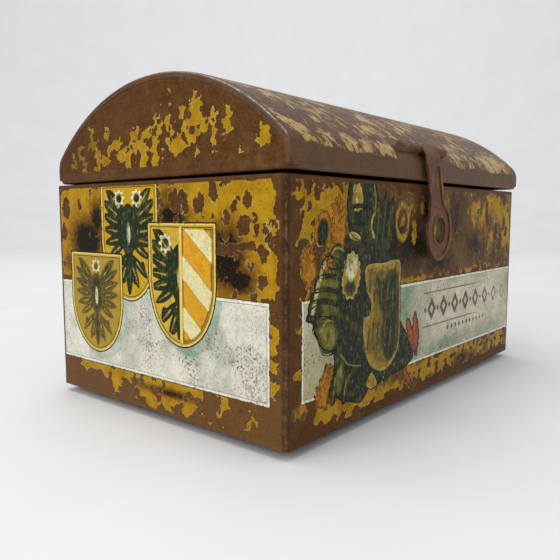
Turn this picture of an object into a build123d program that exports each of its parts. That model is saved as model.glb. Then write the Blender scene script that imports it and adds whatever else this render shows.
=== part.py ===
from build123d import *
import os
from math import acos, cos, degrees, radians, sin, sqrt

# A chest-shaped tin money box: a folded sheet-metal body on a pressed base,
# a barrel lid with a coin slot, two butt hinges behind and a hasp in front.
# Millimetres. +X runs along the box, -Y is the front with the hasp, +Z is up.
# The origin is on the table, under the middle of the box.

# --- driving sizes -----------------------------------------------------------
LENGTH = 150.0          # outside, along X
DEPTH = 99.0            # outside, along Y
WALL_HEIGHT = 67.2      # height of the printed body wall
FOOT = 2.5              # the wall's lower edge stands this far off the table
SHEET = 0.45            # tinplate thickness
LID_RISE = 28.5         # crest of the lid above its own lower edge
CROWN_RADIUS = 68.0     # radius of the barrel
LID_GAP = 0.4           # clearance between the lid and the body at the hinge
LID_LIFT = 0.3          # degrees: the closed lid rides up a little at the front

# --- body --------------------------------------------------------------------
CORNER_RADIUS = 1.4
HEM_DEPTH = 4.0         # the mouth is hemmed inwards, two sheets thick
HEM_ROUND = 0.4
LIP_WIDTH = 1.8         # the wall's lower edge is turned in under the base
SEAM_WIDTH = 5.0        # folded lock seam in the middle of the back
SEAM_HEIGHT = 58.0
SEAM_THICKNESS = 0.5
SEAM_ROUND = 0.3
BODY_TOP = FOOT + WALL_HEIGHT

# --- base pan ----------------------------------------------------------------
PAN_CLEARANCE = 0.05
PAN_FLANGE = 5.0
FOOT_INSET = 8.0        # the pressed foot starts this far inside the wall
FOOT_CORNER = 8.0
FOOT_TAPER = -30.0      # degrees, the foot widens upwards

# --- lid ---------------------------------------------------------------------
LID_HALF_DEPTH = 49.7
LID_SHIFT = -1.3        # the lid sits forward of the body's middle
SHOULDER_RADIUS = 6.0   # between the short upright skirt and the barrel
ROLL_RADIUS = 1.1       # hollow curl round the lid's lower edge
ROLL_CORNER = 1.6       # radius of the curl's centre line at the corners
END_SPLIT = 3.2         # the curl belongs to the end panels this far in
CRIMP_WIDTH = 1.8       # barrel edge folded over each end panel
CRIMP_ROUND = 0.9
PANEL_STEP = 0.12       # an end panel lies this far inside the crimped edge
PANEL_CLEARANCE = 0.05
LID_BOTTOM = BODY_TOP + LID_GAP
CROWN_HEIGHT = LID_RISE - CROWN_RADIUS      # centre of the barrel's radius

# --- coin slot in the crest ----------------------------------------------------
COIN_SLOT_LENGTH = 37.0
COIN_SLOT_WIDTH = 4.8
COIN_LIP_DEPTH = 1.6

# --- the two hinges on the back ------------------------------------------------
HINGE_SPACING = 92.0
LEAF_THICKNESS = 0.5
HINGE_PIN_RADIUS = 0.8
RUNNING_CLEARANCE = 0.05
KNUCKLE_RADIUS = HINGE_PIN_RADIUS + RUNNING_CLEARANCE + LEAF_THICKNESS
KNUCKLE_OFFSET = 0.15   # between the turning knuckle and the back wall
LEAF_WIDTH = 18.6
MIDDLE_KNUCKLE = 8.0
KNUCKLE_GAP = 0.2
BODY_LEAF_HEIGHT = 11.0 # below the pin
LID_LEAF_HEIGHT = 14.8  # above the lid's lower edge, round the shoulder and onto the barrel
LEAF_CORNER = 2.0
PIN_OVERHANG = 0.3
PIN_RISE = 0.9          # the pin's middle above the body's top edge
HINGE_Y = DEPTH / 2 + KNUCKLE_OFFSET + KNUCKLE_RADIUS
HINGE_Z = BODY_TOP + PIN_RISE

# --- rivets ----------------------------------------------------------------------
RIVET_RADIUS = 0.9
RIVET_HEAD_RADIUS = 1.7
RIVET_HEAD_HEIGHT = 0.8
RIVET_TAIL_RADIUS = 1.4
RIVET_TAIL_HEIGHT = 0.4
RIVET_SPACING = 11.0
RIVET_CLEARANCE = 0.02
RIVET_HOLE_DEPTH = 6.0  # longer than any stack of sheets
BODY_RIVET_Z = BODY_TOP - 6.6
LID_RIVET_RISE = 10.8   # above the lid's lower edge

# --- hasp on the front -------------------------------------------------------------
HASP_X = -6.0           # the strap's knuckle is a little left of the middle
SADDLE_LENGTHS = {-1: 12.5, 1: 8.0}    # of the bar to the left and the right of the strap
HASP_BAR_ANGLE = 44.6   # degrees round the barrel from the crest
HASP_PIN_RADIUS = 0.6
HASP_SHEET = 0.48
HASP_CLEARANCE = 0.03
HASP_KNUCKLE_RADIUS = HASP_PIN_RADIUS + HASP_CLEARANCE + HASP_SHEET
HASP_BARREL_GAP = 0.12  # between the strap's knuckle and the barrel
HASP_STANDOFF = HASP_KNUCKLE_RADIUS + HASP_BARREL_GAP
HASP_END_WALL = 0.5
STRAP_WIDTH = 9.2
STRAP_GAP = 0.35        # between the strap's knuckle and each saddle
STRAP_FRONT_Y = -52.3   # middle of the strap's sheet where it passes the lid's edge
STRAP_LEAN_Z = BODY_TOP - 0.5       # from here down the strap leans back to the wall
STRAP_UPPER_BEND = 4.0
STRAP_LOWER_BEND = 14.0
NECK_TOP = 4.0          # the strap starts to hang askew this far below its pin
STRAP_REACH = 2 * STRAP_WIDTH       # wider than the strap and its ring, for cutting it out
RING_Y = -52.0          # middle of the ring's sheet
RING_X = 0.3            # the strap hangs askew
RING_Z = 55.0
RING_FLAT_Z = BODY_TOP - 6.5        # from here down the strap is parallel to the wall
RING_HALF_WIDTH = 8.6
RING_HALF_HEIGHT = 9.8
EYE_HALF_WIDTH = 4.0
EYE_HALF_HEIGHT = 4.3
NECK_RADIUS = 9.0
RIM_WIDTH = 1.5
RIM_HEIGHT = 0.35
RIM_TOP = 5.0           # the rim starts this far below the pin
EYE_RIM_WIDTH = 0.9
JOINT_SPAN = 2.0        # how far the neck runs into the ring

# --- the low pip on the front wall that the ring presses over ------------------------
PIP_RADIUS = 3.1
PIP_HEIGHT = 0.9

FAR = 400.0             # larger than the whole object, for cutting blocks
TINY = 0.01             # smaller than any feature, for picking edges


def block(low, high):
    """Box between two corners."""
    size = [b - a for a, b in zip(low, high)]
    middle = [(a + b) / 2 for a, b in zip(low, high)]
    return Pos(*middle) * Box(*size)


def rounded_plate(length, depth, radius, bottom, height):
    """Upright prism on a rounded rectangle, standing on the level bottom."""
    return Pos(0, 0, bottom) * extrude(RectangleRounded(length, depth, radius), height)


def cylinder_x(radius, x_from, x_to, y=0.0, z=0.0):
    """Cylinder along X."""
    middle = Pos((x_from + x_to) / 2, y, z)
    return middle * Cylinder(radius, x_to - x_from, rotation=(0, 90, 0))


# --- shapes of the lid, in the lid's own frame: z = 0 at its lower edge ---------------
def arch_face(inset, bottom):
    """The lid's outline in the YZ plane: two short skirts under one round crown."""
    half = LID_HALF_DEPTH - inset
    radius = CROWN_RADIUS - inset
    spring = CROWN_HEIGHT + sqrt(radius**2 - half**2)
    crest = CROWN_HEIGHT + radius
    outline = Curve() + [
        Line((-half, bottom), (-half, spring)),
        ThreePointArc((-half, spring), (0, crest), (half, spring)),
        Line((half, spring), (half, bottom)),
        Line((half, bottom), (-half, bottom)),
    ]
    face = make_face(Plane.YZ * outline)
    shoulders = face.vertices().sort_by(Axis.Z)[-2:]
    return fillet(shoulders, SHOULDER_RADIUS - inset)


def arch_prism(inset, bottom, half_length):
    """The outline carried along X, the same distance both ways."""
    return extrude(arch_face(inset, bottom), half_length, dir=(1, 0, 0), both=True)


def crown_point(angle, height=0.0):
    """(y, z) on the barrel, an angle in degrees from the crest towards the back."""
    reach = CROWN_RADIUS + height
    return reach * sin(radians(angle)), CROWN_HEIGHT + reach * cos(radians(angle))


def place_on_box(piece):
    """Carry a lid piece to its closed place, front edge a little raised."""
    closed = Pos(0, LID_SHIFT, LID_BOTTOM) * piece
    return closed.rotate(Axis((0, HINGE_Y, HINGE_Z), (-1, 0, 0)), LID_LIFT)


def lid_curl():
    """Hollow curl that runs all round the lid's lower edge."""
    path = Pos(0, 0, ROLL_RADIUS) * RectangleRounded(
        LENGTH - 2 * ROLL_RADIUS, 2 * (LID_HALF_DEPTH - ROLL_RADIUS), ROLL_CORNER
    ).wire()
    start = Plane(origin=path @ 0, z_dir=path % 0)
    section = start * (Circle(ROLL_RADIUS) - Circle(ROLL_RADIUS - SHEET))
    return sweep(section, path=path)


def curl_end_zone(side):
    """Block round the part of the curl that belongs to one end panel."""
    inner = LENGTH / 2 - END_SPLIT
    low, high = sorted((side * inner, side * LENGTH))
    return block((low, -DEPTH, -1), (high, DEPTH, 2 * ROLL_RADIUS + 1))


# --- rivets: z = 0 on the outer face of the stack, +Z outwards --------------------------
def rivet(stack):
    """Round-head rivet through a stack of sheets, its tail upset on the inside."""
    head = RIVET_HEAD_HEIGHT
    sphere = (RIVET_HEAD_RADIUS**2 + head**2) / (2 * head)
    dome = Pos(0, 0, head - sphere) * Sphere(sphere)
    dome = dome & block((-FAR, -FAR, 0), (FAR, FAR, FAR))
    shank_length = stack + RIVET_TAIL_HEIGHT
    shank = Pos(0, 0, -shank_length / 2) * Cylinder(RIVET_RADIUS, shank_length)
    tail = Pos(0, 0, -stack - RIVET_TAIL_HEIGHT / 2) * Cylinder(RIVET_TAIL_RADIUS, RIVET_TAIL_HEIGHT)
    return dome + shank + tail


def rivet_hole():
    """The hole that a rivet's shank passes through."""
    return Cylinder(RIVET_RADIUS + RIVET_CLEARANCE, RIVET_HOLE_DEPTH)


def hinge_positions():
    """The two places along X where a hinge sits."""
    return (-HINGE_SPACING / 2, HINGE_SPACING / 2)


def rivet_columns():
    """X of every rivet in a row, two to a leaf."""
    return [x + s * RIVET_SPACING / 2 for x in hinge_positions() for s in (-1, 1)]


def body_rivet_planes():
    """Planes on the body leaves' outer faces, one for each rivet."""
    y = DEPTH / 2 + LEAF_THICKNESS + RIVET_CLEARANCE
    return [Plane((x, y, BODY_RIVET_Z), x_dir=(1, 0, 0), z_dir=(0, 1, 0)) for x in rivet_columns()]


def lid_rivet_planes():
    """Planes on the lid leaves' outer faces, in the lid's own frame."""
    angle = degrees(acos((LID_RIVET_RISE - CROWN_HEIGHT) / CROWN_RADIUS))
    y, z = crown_point(angle, LEAF_THICKNESS + PANEL_CLEARANCE + RIVET_CLEARANCE)
    outward = (0, sin(radians(angle)), cos(radians(angle)))
    return [Plane((x, y, z), x_dir=(1, 0, 0), z_dir=outward) for x in rivet_columns()]


# --- the body ---------------------------------------------------------------------------
def body_wrap():
    """One strip folded round four corners, seamed behind, hemmed above, turned in below."""
    wall = rounded_plate(LENGTH, DEPTH, CORNER_RADIUS, FOOT, WALL_HEIGHT)
    for thickness, height in ((SHEET, BODY_TOP - HEM_DEPTH), (2 * SHEET, FAR)):
        length, depth = LENGTH - 2 * thickness, DEPTH - 2 * thickness
        wall = wall - rounded_plate(length, depth, CORNER_RADIUS - thickness, 0, height)
    wall = fillet(wall.edges().group_by(Axis.Z)[-1], HEM_ROUND)

    lip = rounded_plate(LENGTH - SHEET, DEPTH - SHEET, CORNER_RADIUS, FOOT, SHEET)
    opening_length = LENGTH - 2 * LIP_WIDTH
    opening_depth = DEPTH - 2 * LIP_WIDTH
    lip = lip - rounded_plate(opening_length, opening_depth, CORNER_RADIUS, 0, FAR)

    seam_low = (-SEAM_WIDTH / 2, DEPTH / 2 - SHEET / 2, FOOT)
    seam_high = (SEAM_WIDTH / 2, DEPTH / 2 + SEAM_THICKNESS, FOOT + SEAM_HEIGHT)
    seam = block(seam_low, seam_high)
    seam = fillet(seam.edges().filter_by(Axis.Z).sort_by(Axis.Y)[-2:], SEAM_ROUND)

    wall = press_pip(wall + lip + seam)
    for plane in body_rivet_planes():
        wall = wall - plane * rivet_hole()
    return wall


def press_pip(wall):
    """Raise the low domed pip in the front wall, behind the hasp's eye."""
    sphere = (PIP_RADIUS**2 + PIP_HEIGHT**2) / (2 * PIP_HEIGHT)
    centre = Pos(RING_X, -DEPTH / 2 - PIP_HEIGHT + sphere, RING_Z)
    dome = centre * (Sphere(sphere) - Sphere(sphere - SHEET))
    front = block((-FAR, -FAR, -FAR), (FAR, -DEPTH / 2 + SHEET / 2, FAR))
    return wall - centre * Sphere(sphere - SHEET) + (dome & front)


def base_pan():
    """Base pressed with a flange inside the wall and a broad foot in the middle."""
    clear = 2 * (SHEET + PAN_CLEARANCE)
    length, depth = LENGTH - clear, DEPTH - clear
    radius = CORNER_RADIUS - SHEET
    floor = FOOT + SHEET + PAN_CLEARANCE
    tray = rounded_plate(length, depth, radius, floor, PAN_FLANGE)
    length, depth = length - 2 * SHEET, depth - 2 * SHEET
    tray = tray - rounded_plate(length, depth, radius - SHEET, floor + SHEET, PAN_FLANGE)

    outline = RectangleRounded(LENGTH - 2 * FOOT_INSET, DEPTH - 2 * FOOT_INSET, FOOT_CORNER)
    inner_outline = offset(outline, -SHEET)
    foot = extrude(outline, floor + SHEET, taper=FOOT_TAPER)
    foot_hollow = Pos(0, 0, SHEET) * extrude(inner_outline, floor + SHEET, taper=FOOT_TAPER)
    return tray + foot - foot_hollow


# --- the lid ------------------------------------------------------------------------------
def lid_barrel():
    """The lid's curved sheet, its ends crimped inwards, with the coin slot in its crest."""
    sheet = arch_prism(0, ROLL_RADIUS, LENGTH / 2)
    end_edges = [e for e in sheet.edges() if abs(e.center().X) > LENGTH / 2 - TINY]
    sheet = fillet([e for e in end_edges if e.center().Z > ROLL_RADIUS + TINY], CRIMP_ROUND)
    sheet = sheet - arch_prism(SHEET, -1, LENGTH / 2 - SHEET)
    sheet = sheet - arch_prism(CRIMP_WIDTH, -1, LENGTH)

    curl = lid_curl()
    sheet = sheet - curl + (curl - curl_end_zone(1) - curl_end_zone(-1))
    sheet = coin_slot(sheet)
    for plane in lid_rivet_planes():
        sheet = sheet - plane * rivet_hole()
    return place_on_box(sheet)


def coin_slot(sheet):
    """Cut the coin slot along the crest and turn its edge down inside."""
    cut = SlotOverall(COIN_SLOT_LENGTH, COIN_SLOT_WIDTH)
    edge = SlotOverall(COIN_SLOT_LENGTH + 2 * SHEET, COIN_SLOT_WIDTH + 2 * SHEET)
    lip_top = LID_RISE - SHEET / 2
    lip = Pos(0, 0, lip_top - COIN_LIP_DEPTH) * extrude(edge, COIN_LIP_DEPTH)
    opening = Pos(0, 0, LID_RISE - FAR / 2) * extrude(cut, FAR)
    return sheet + lip - opening


def lid_end(side):
    """End panel held inside the crimp, its middle pressed out, its lower edge curled."""
    inner_face = LENGTH / 2 - 2 * SHEET
    flange = arch_prism(SHEET + PANEL_CLEARANCE, ROLL_RADIUS, LENGTH / 2 - SHEET)
    field = arch_prism(CRIMP_WIDTH + PANEL_CLEARANCE, ROLL_RADIUS, LENGTH / 2 - PANEL_STEP)
    low, high = sorted((side * inner_face, side * LENGTH))
    panel = (flange + field) & block((low, -DEPTH, 0), (high, DEPTH, FAR))
    hollow_low, hollow_high = sorted((side * (inner_face - 1), side * (LENGTH / 2 - PANEL_STEP - SHEET)))
    dish = arch_prism(CRIMP_WIDTH + SHEET, ROLL_RADIUS, LENGTH)
    dish = dish & block((hollow_low, -DEPTH, 0), (hollow_high, DEPTH, FAR))
    curl = lid_curl() & curl_end_zone(side)
    return place_on_box(panel - dish + curl)


# --- the hinges ------------------------------------------------------------------------------
def knuckle_spans(x):
    """X ranges of the two outer knuckles of a hinge, left to right."""
    half = LEAF_WIDTH / 2
    middle = MIDDLE_KNUCKLE / 2 + KNUCKLE_GAP
    return [(x - half, x - middle), (x + middle, x + half)]


def hinge_body_leaf(x):
    """Leaf riveted to the back wall, with the two outer knuckles."""
    face = DEPTH / 2 + RIVET_CLEARANCE / 2
    half = LEAF_WIDTH / 2
    leaf = block((x - half, face, HINGE_Z - BODY_LEAF_HEIGHT), (x + half, face + LEAF_THICKNESS, HINGE_Z))
    lower_corners = leaf.edges().filter_by(Axis.Y).group_by(Axis.Z)[0]
    leaf = fillet(lower_corners, LEAF_CORNER)
    notch_half = MIDDLE_KNUCKLE / 2 + KNUCKLE_GAP
    notch_floor = HINGE_Z - KNUCKLE_RADIUS - 2 * KNUCKLE_GAP
    leaf = leaf - block((x - notch_half, 0, notch_floor), (x + notch_half, DEPTH, FAR))
    for low, high in knuckle_spans(x):
        leaf = leaf + cylinder_x(KNUCKLE_RADIUS, low, high, HINGE_Y, HINGE_Z)
    leaf = leaf - cylinder_x(HINGE_PIN_RADIUS + RIVET_CLEARANCE, x - half, x + half, HINGE_Y, HINGE_Z)
    for plane in body_rivet_planes():
        leaf = leaf - plane * rivet_hole()
    return leaf


def hinge_lid_leaf(x):
    """Leaf that follows the back of the lid, with the middle knuckle."""
    half = LEAF_WIDTH / 2
    near = arch_prism(-PANEL_CLEARANCE - LEAF_THICKNESS, -1, LENGTH)
    near = near - arch_prism(-PANEL_CLEARANCE, -2, LENGTH + 1)
    arm_top = HINGE_Z + KNUCKLE_RADIUS - LID_BOTTOM
    arm_bottom = arm_top - LEAF_THICKNESS
    leaf = near & block((x - half, 0, arm_bottom), (x + half, DEPTH, LID_LEAF_HEIGHT))
    arm_low = (x - MIDDLE_KNUCKLE / 2, LID_HALF_DEPTH + PANEL_CLEARANCE, arm_bottom)
    arm_high = (x + MIDDLE_KNUCKLE / 2, HINGE_Y - LID_SHIFT, arm_top)
    leaf = leaf + block(arm_low, arm_high)
    axis = (x - MIDDLE_KNUCKLE / 2, x + MIDDLE_KNUCKLE / 2, HINGE_Y - LID_SHIFT, HINGE_Z - LID_BOTTOM)
    leaf = leaf + cylinder_x(KNUCKLE_RADIUS, *axis)
    leaf = leaf - cylinder_x(HINGE_PIN_RADIUS + RUNNING_CLEARANCE, *axis)
    for plane in lid_rivet_planes():
        leaf = leaf - plane * rivet_hole()
    return place_on_box(leaf)


def hinge_pin(x):
    """Wire pin through all three knuckles."""
    half = LEAF_WIDTH / 2 + PIN_OVERHANG
    return cylinder_x(HINGE_PIN_RADIUS, x - half, x + half, HINGE_Y, HINGE_Z)


def hinge_body_rivets():
    """Four rivets through the body leaves and the back wall."""
    stack = LEAF_THICKNESS + SHEET + 2 * RIVET_CLEARANCE
    return Compound([plane * rivet(stack) for plane in body_rivet_planes()])


def hinge_lid_rivets():
    """Four rivets through the lid leaves and the barrel."""
    stack = LEAF_THICKNESS + PANEL_CLEARANCE + SHEET + 2 * RIVET_CLEARANCE
    return Compound([place_on_box(plane * rivet(stack)) for plane in lid_rivet_planes()])


# --- the hasp: a bar of two saddles with the strap's knuckle between them ----------------------
def hasp_plane():
    """Plane on the hasp's pin: x along the pin, z straight out of the barrel, closed lid."""
    y, z = crown_point(-HASP_BAR_ANGLE, HASP_STANDOFF)
    origin = place_on_box(Vertex(0, y, z)).center()
    tilt = radians(HASP_BAR_ANGLE - LID_LIFT)
    return Plane((HASP_X, origin.Y, origin.Z), x_dir=(1, 0, 0), z_dir=(0, -sin(tilt), cos(tilt)))


def saddle_end(side):
    """X of a saddle's closed end, from the middle of the strap."""
    return side * (STRAP_WIDTH / 2 + STRAP_GAP + SADDLE_LENGTHS[side])


def hasp_saddle(side):
    """Part of the bar on one side of the strap: a saddle over the pin, closed at its outer end."""
    near, far = sorted((side * (STRAP_WIDTH / 2 + STRAP_GAP), saddle_end(side)))
    radius = HASP_KNUCKLE_RADIUS
    body = cylinder_x(radius, near, far) + block((near, -radius, -HASP_STANDOFF), (far, radius, 0))
    low, high = sorted((side * STRAP_WIDTH / 2, saddle_end(side) - side * HASP_END_WALL))
    bore = cylinder_x(HASP_PIN_RADIUS + RIVET_CLEARANCE, low, high)
    slot_half = HASP_PIN_RADIUS + RIVET_CLEARANCE
    throat = block((low, -slot_half, -FAR), (high, slot_half, 0))
    crown = arch_prism(PANEL_CLEARANCE / 2, 0, LENGTH / 2)
    saddle = hasp_plane() * (body - bore - throat)
    return saddle - place_on_box(crown)


def hasp_pin():
    """Wire that the strap swings on."""
    stop = HASP_END_WALL + RIVET_CLEARANCE
    return hasp_plane() * cylinder_x(HASP_PIN_RADIUS, saddle_end(-1) + stop, saddle_end(1) - stop)


def strap_path():
    """Middle line of the strap's sheet in the YZ plane, from the pin down to the ring's tip."""
    plane = hasp_plane()
    out, pin = plane.z_dir, plane.origin
    down = Vector(0, -out.Z, out.Y)
    start = pin + out * (HASP_KNUCKLE_RADIUS - HASP_SHEET / 2)
    bend = start + down * ((STRAP_FRONT_Y - start.Y) / down.Y)
    points = [
        (0, start.Y, start.Z),
        (0, bend.Y, bend.Z),
        (0, STRAP_FRONT_Y, STRAP_LEAN_Z),
        (0, RING_Y, RING_FLAT_Z),
        (0, RING_Y, RING_Z - RING_HALF_HEIGHT - 1),
    ]
    return FilletPolyline(*points, radius=[STRAP_UPPER_BEND, STRAP_LOWER_BEND, STRAP_LOWER_BEND])


def sheet_along(path, front, back):
    """Wide sheet of given reach in front of and behind a path."""
    forward = Pos(0, -front, 0) * path
    rearward = Pos(0, back, 0) * path
    ends = [Line(forward @ 0, rearward @ 0), Line(forward @ 1, rearward @ 1)]
    face = make_face(Curve() + [forward, rearward] + ends)
    return extrude(face, STRAP_REACH, dir=(1, 0, 0), both=True)


def strap_outline(inset):
    """Front view of the strap and its ring."""
    half = STRAP_WIDTH / 2 - inset
    pin_z = hasp_plane().origin.Z
    top = pin_z + 2 * HASP_KNUCKLE_RADIUS
    neck_top = pin_z - NECK_TOP
    neck_bottom = RING_Z + JOINT_SPAN
    corners = [
        (HASP_X - half, top),
        (HASP_X - half, neck_top),
        (RING_X - half, neck_bottom),
        (RING_X + half, neck_bottom),
        (HASP_X + half, neck_top),
        (HASP_X + half, top),
    ]
    neck = make_face(Polyline(*corners, close=True))
    ring = Pos(RING_X, RING_Z) * Ellipse(RING_HALF_WIDTH - inset, RING_HALF_HEIGHT - inset)
    outline = neck + ring
    ring_top = RING_Z + RING_HALF_HEIGHT
    joints = [v for v in outline.vertices() if neck_bottom + TINY < v.Y < ring_top]
    return fillet(joints, NECK_RADIUS)


def front_prism(outline):
    """A front view carried through the whole depth."""
    drawing = Plane((0, 0, 0), x_dir=(1, 0, 0), z_dir=(0, -1, 0))
    return extrude(drawing * outline, DEPTH, dir=(0, -1, 0))


def hasp_strap():
    """Strap with a rolled knuckle above and a rimmed oval ring below."""
    half_sheet = HASP_SHEET / 2
    path = strap_path()
    sheet = sheet_along(path, half_sheet, half_sheet)
    strap = sheet & front_prism(strap_outline(0))

    band = strap_outline(0) - strap_outline(RIM_WIDTH)
    band = front_prism(band) & block((-FAR, -FAR, 0), (FAR, 0, hasp_plane().origin.Z - RIM_TOP))
    rim = sheet_along(path, half_sheet + RIM_HEIGHT, 0) & band
    strap = strap + rim

    eye = Pos(RING_X, RING_Z) * Ellipse(EYE_HALF_WIDTH, EYE_HALF_HEIGHT)
    eye_rim = Ellipse(EYE_HALF_WIDTH + EYE_RIM_WIDTH, EYE_HALF_HEIGHT + EYE_RIM_WIDTH)
    eye_rim = Pos(RING_X, RING_Z) * eye_rim
    collar = sheet_along(path, half_sheet + RIM_HEIGHT / 2, 0) & front_prism(eye_rim)
    strap = strap + collar - front_prism(eye)

    half = STRAP_WIDTH / 2
    knuckle = cylinder_x(HASP_KNUCKLE_RADIUS, -half, half)
    bore = cylinder_x(HASP_PIN_RADIUS + HASP_CLEARANCE, -half - 1, half + 1)
    plane = hasp_plane()
    return strap + plane * knuckle - plane * bore


def all_pieces():
    """Every separate piece, by name."""
    left, right = hinge_positions()
    return {
        "body_wrap": body_wrap(),
        "base_pan": base_pan(),
        "lid_barrel": lid_barrel(),
        "lid_end_left": lid_end(-1),
        "lid_end_right": lid_end(1),
        "hinge_left_body_leaf": hinge_body_leaf(left),
        "hinge_left_lid_leaf": hinge_lid_leaf(left),
        "hinge_left_pin": hinge_pin(left),
        "hinge_right_body_leaf": hinge_body_leaf(right),
        "hinge_right_lid_leaf": hinge_lid_leaf(right),
        "hinge_right_pin": hinge_pin(right),
        "hinge_body_rivets": hinge_body_rivets(),
        "hinge_lid_rivets": hinge_lid_rivets(),
        "hasp_saddle_left": hasp_saddle(-1),
        "hasp_saddle_right": hasp_saddle(1),
        "hasp_pin": hasp_pin(),
        "hasp_strap": hasp_strap(),
    }


os.makedirs("parts", exist_ok=True)
for name, piece in all_pieces().items():
    export_step(piece, f"parts/{name}.step")
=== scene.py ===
"""Looks of the tin money box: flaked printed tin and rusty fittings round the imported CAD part."""

import math

import bpy
import numpy as np
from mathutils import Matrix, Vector


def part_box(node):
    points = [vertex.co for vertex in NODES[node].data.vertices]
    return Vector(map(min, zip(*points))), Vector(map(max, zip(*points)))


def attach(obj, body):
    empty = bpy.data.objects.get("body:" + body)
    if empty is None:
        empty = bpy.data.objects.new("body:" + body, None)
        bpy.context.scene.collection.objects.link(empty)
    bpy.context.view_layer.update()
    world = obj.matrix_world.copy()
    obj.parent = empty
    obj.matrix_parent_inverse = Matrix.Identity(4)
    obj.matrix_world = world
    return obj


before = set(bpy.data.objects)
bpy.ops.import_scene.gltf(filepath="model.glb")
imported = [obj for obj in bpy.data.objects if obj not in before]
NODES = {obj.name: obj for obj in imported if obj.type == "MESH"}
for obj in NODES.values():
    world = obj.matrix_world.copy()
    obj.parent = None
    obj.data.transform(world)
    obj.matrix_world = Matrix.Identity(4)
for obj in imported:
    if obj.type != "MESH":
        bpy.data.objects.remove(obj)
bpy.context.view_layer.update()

# --- places in millimetres: the walls from the CAD frame, the rest as the CAD has them ---
MM = 0.001
WALL_LOW, WALL_HIGH = (Vector(corner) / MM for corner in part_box("body_wrap"))
LENGTH = WALL_HIGH.x - WALL_LOW.x
DEPTH = 99.0
FOOT = WALL_LOW.z                                # the walls start this far above the ground
WALL = WALL_HIGH.z - FOOT
WALL_MARGIN = 1.6                                # the walls' round corners are left bare
WALL_PRINT_LOW, WALL_PRINT_HIGH = 0.5, WALL - 0.9    # the print's lower and upper ends on a wall
PIP_X, PIP_V, PIP_RADIUS, PIP_HEIGHT = 0.3, 52.5, 3.1, 0.9    # the dome behind the hasp's eye
SEAM_HALF_WIDTH, SEAM_TOP = 2.9, 58.6            # the lock seam in the back

HINGE_Y, HINGE_Z = 51.0, 70.6                    # the lid turns about this line
LID_TILT = math.radians(0.3)                     # the closed lid rides up at the front
LID_BOTTOM, LID_SHIFT, LID_HALF_DEPTH = 70.1, -1.3, 49.7
CROWN_RADIUS, CROWN_RISE = 68.0, -39.5           # the barrel, and its centre above the lid's bottom
SHOULDER_RADIUS = 6.0                            # between the barrel and its short upright skirts
SHOULDER_Y = LID_HALF_DEPTH - SHOULDER_RADIUS
CROWN_SWEEP = math.asin(SHOULDER_Y / (CROWN_RADIUS - SHOULDER_RADIUS))    # from the crest to a shoulder
SHOULDER_Z = CROWN_RISE + (CROWN_RADIUS - SHOULDER_RADIUS) * math.cos(CROWN_SWEEP)
SHOULDER_SWEEP = math.radians(45)                # the print ends this far round the shoulder
CROWN_ARC = CROWN_RADIUS * CROWN_SWEEP
HALF_ARC = CROWN_ARC + SHOULDER_RADIUS * SHOULDER_SWEEP
CRIMP_WIDTH, PANEL_STEP = 1.8, 0.12              # the end panels lie inside the barrel's crimped edge
CURL_TOP = 2.9                                   # above the hollow curl round the lid's lower edge
BARREL_MARGIN = 1.3
SLOT_HALF_LENGTH, SLOT_HALF_WIDTH = 19.6, 3.4    # the coin slot with its turned-in lip
HASP_LOW, HASP_HIGH = (-25.5, 1.0), (9.5, 9.6)   # what the hasp's bar covers, (x, along the arc)

# --- the printed skins ---
SKIN_STEP = 0.38         # spacing of a skin's points
SKIN_PROUD = 0.03        # bare metal of a skin stands this far off the CAD sheet
PRINT_PROUD = 0.04       # and what is left of the print this much further
SKIN_SINK = 0.03         # a skin's border dips this far into the sheet, so it shows no edge
SKIN_BACK = 0.16         # its hidden back lies this deep
SKIN_TAPER = 1.0         # the border rises over this width
TORN_EDGE = 0.3          # and the edge of the print over this one

# --- noise and outlines, in millimetres; every outline is positive inside ---
LATTICE = 64             # random values repeat after this many cells
TINY = 1e-9
NOWHERE = -5.0           # the value of an outline that is not there


def ripple(u, v, size, seed):
    """Smooth gradient noise of about -0.7 to 0.7, with bumps `size` across."""
    angles = np.random.default_rng(seed).uniform(0, 2 * math.pi, (LATTICE, LATTICE))
    gu, gv = u / size, v / size
    iu, iv = np.floor(gu).astype(int), np.floor(gv).astype(int)
    fu, fv = gu - iu, gv - iv
    su, sv = fu * fu * (3 - 2 * fu), fv * fv * (3 - 2 * fv)

    def corner(du, dv):
        angle = angles[(iu + du) % LATTICE, (iv + dv) % LATTICE]
        return np.cos(angle) * (fu - du) + np.sin(angle) * (fv - dv)

    low = corner(0, 0) * (1 - su) + corner(1, 0) * su
    high = corner(0, 1) * (1 - su) + corner(1, 1) * su
    return low * (1 - sv) + high * sv


def rough(u, v, size, seed, octaves=4):
    """Several ripples, each half as large as the one before and a third weaker."""
    total = 0
    for octave in range(octaves):
        total = total + 0.66**octave * ripple(u, v, size / 2**octave, seed + octave)
    return total


def pocks(u, v, size, seed):
    """Distance to the nearest of many random round spots up to `size` apart, positive outside them."""
    rng = np.random.default_rng(seed)
    places = rng.uniform(0, 1, (LATTICE, LATTICE, 2))
    radii = 0.46 * rng.uniform(0, 1, (LATTICE, LATTICE)) ** 1.4
    gu, gv = u / size, v / size
    iu, iv = np.floor(gu).astype(int), np.floor(gv).astype(int)
    best = np.full(u.shape, np.inf)
    for du in (-1, 0, 1):
        for dv in (-1, 0, 1):
            cell = ((iu + du) % LATTICE, (iv + dv) % LATTICE)
            centre_u, centre_v = iu + du + places[cell][..., 0], iv + dv + places[cell][..., 1]
            best = np.minimum(best, np.hypot(gu - centre_u, gv - centre_v) - radii[cell])
    return best * size


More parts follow.
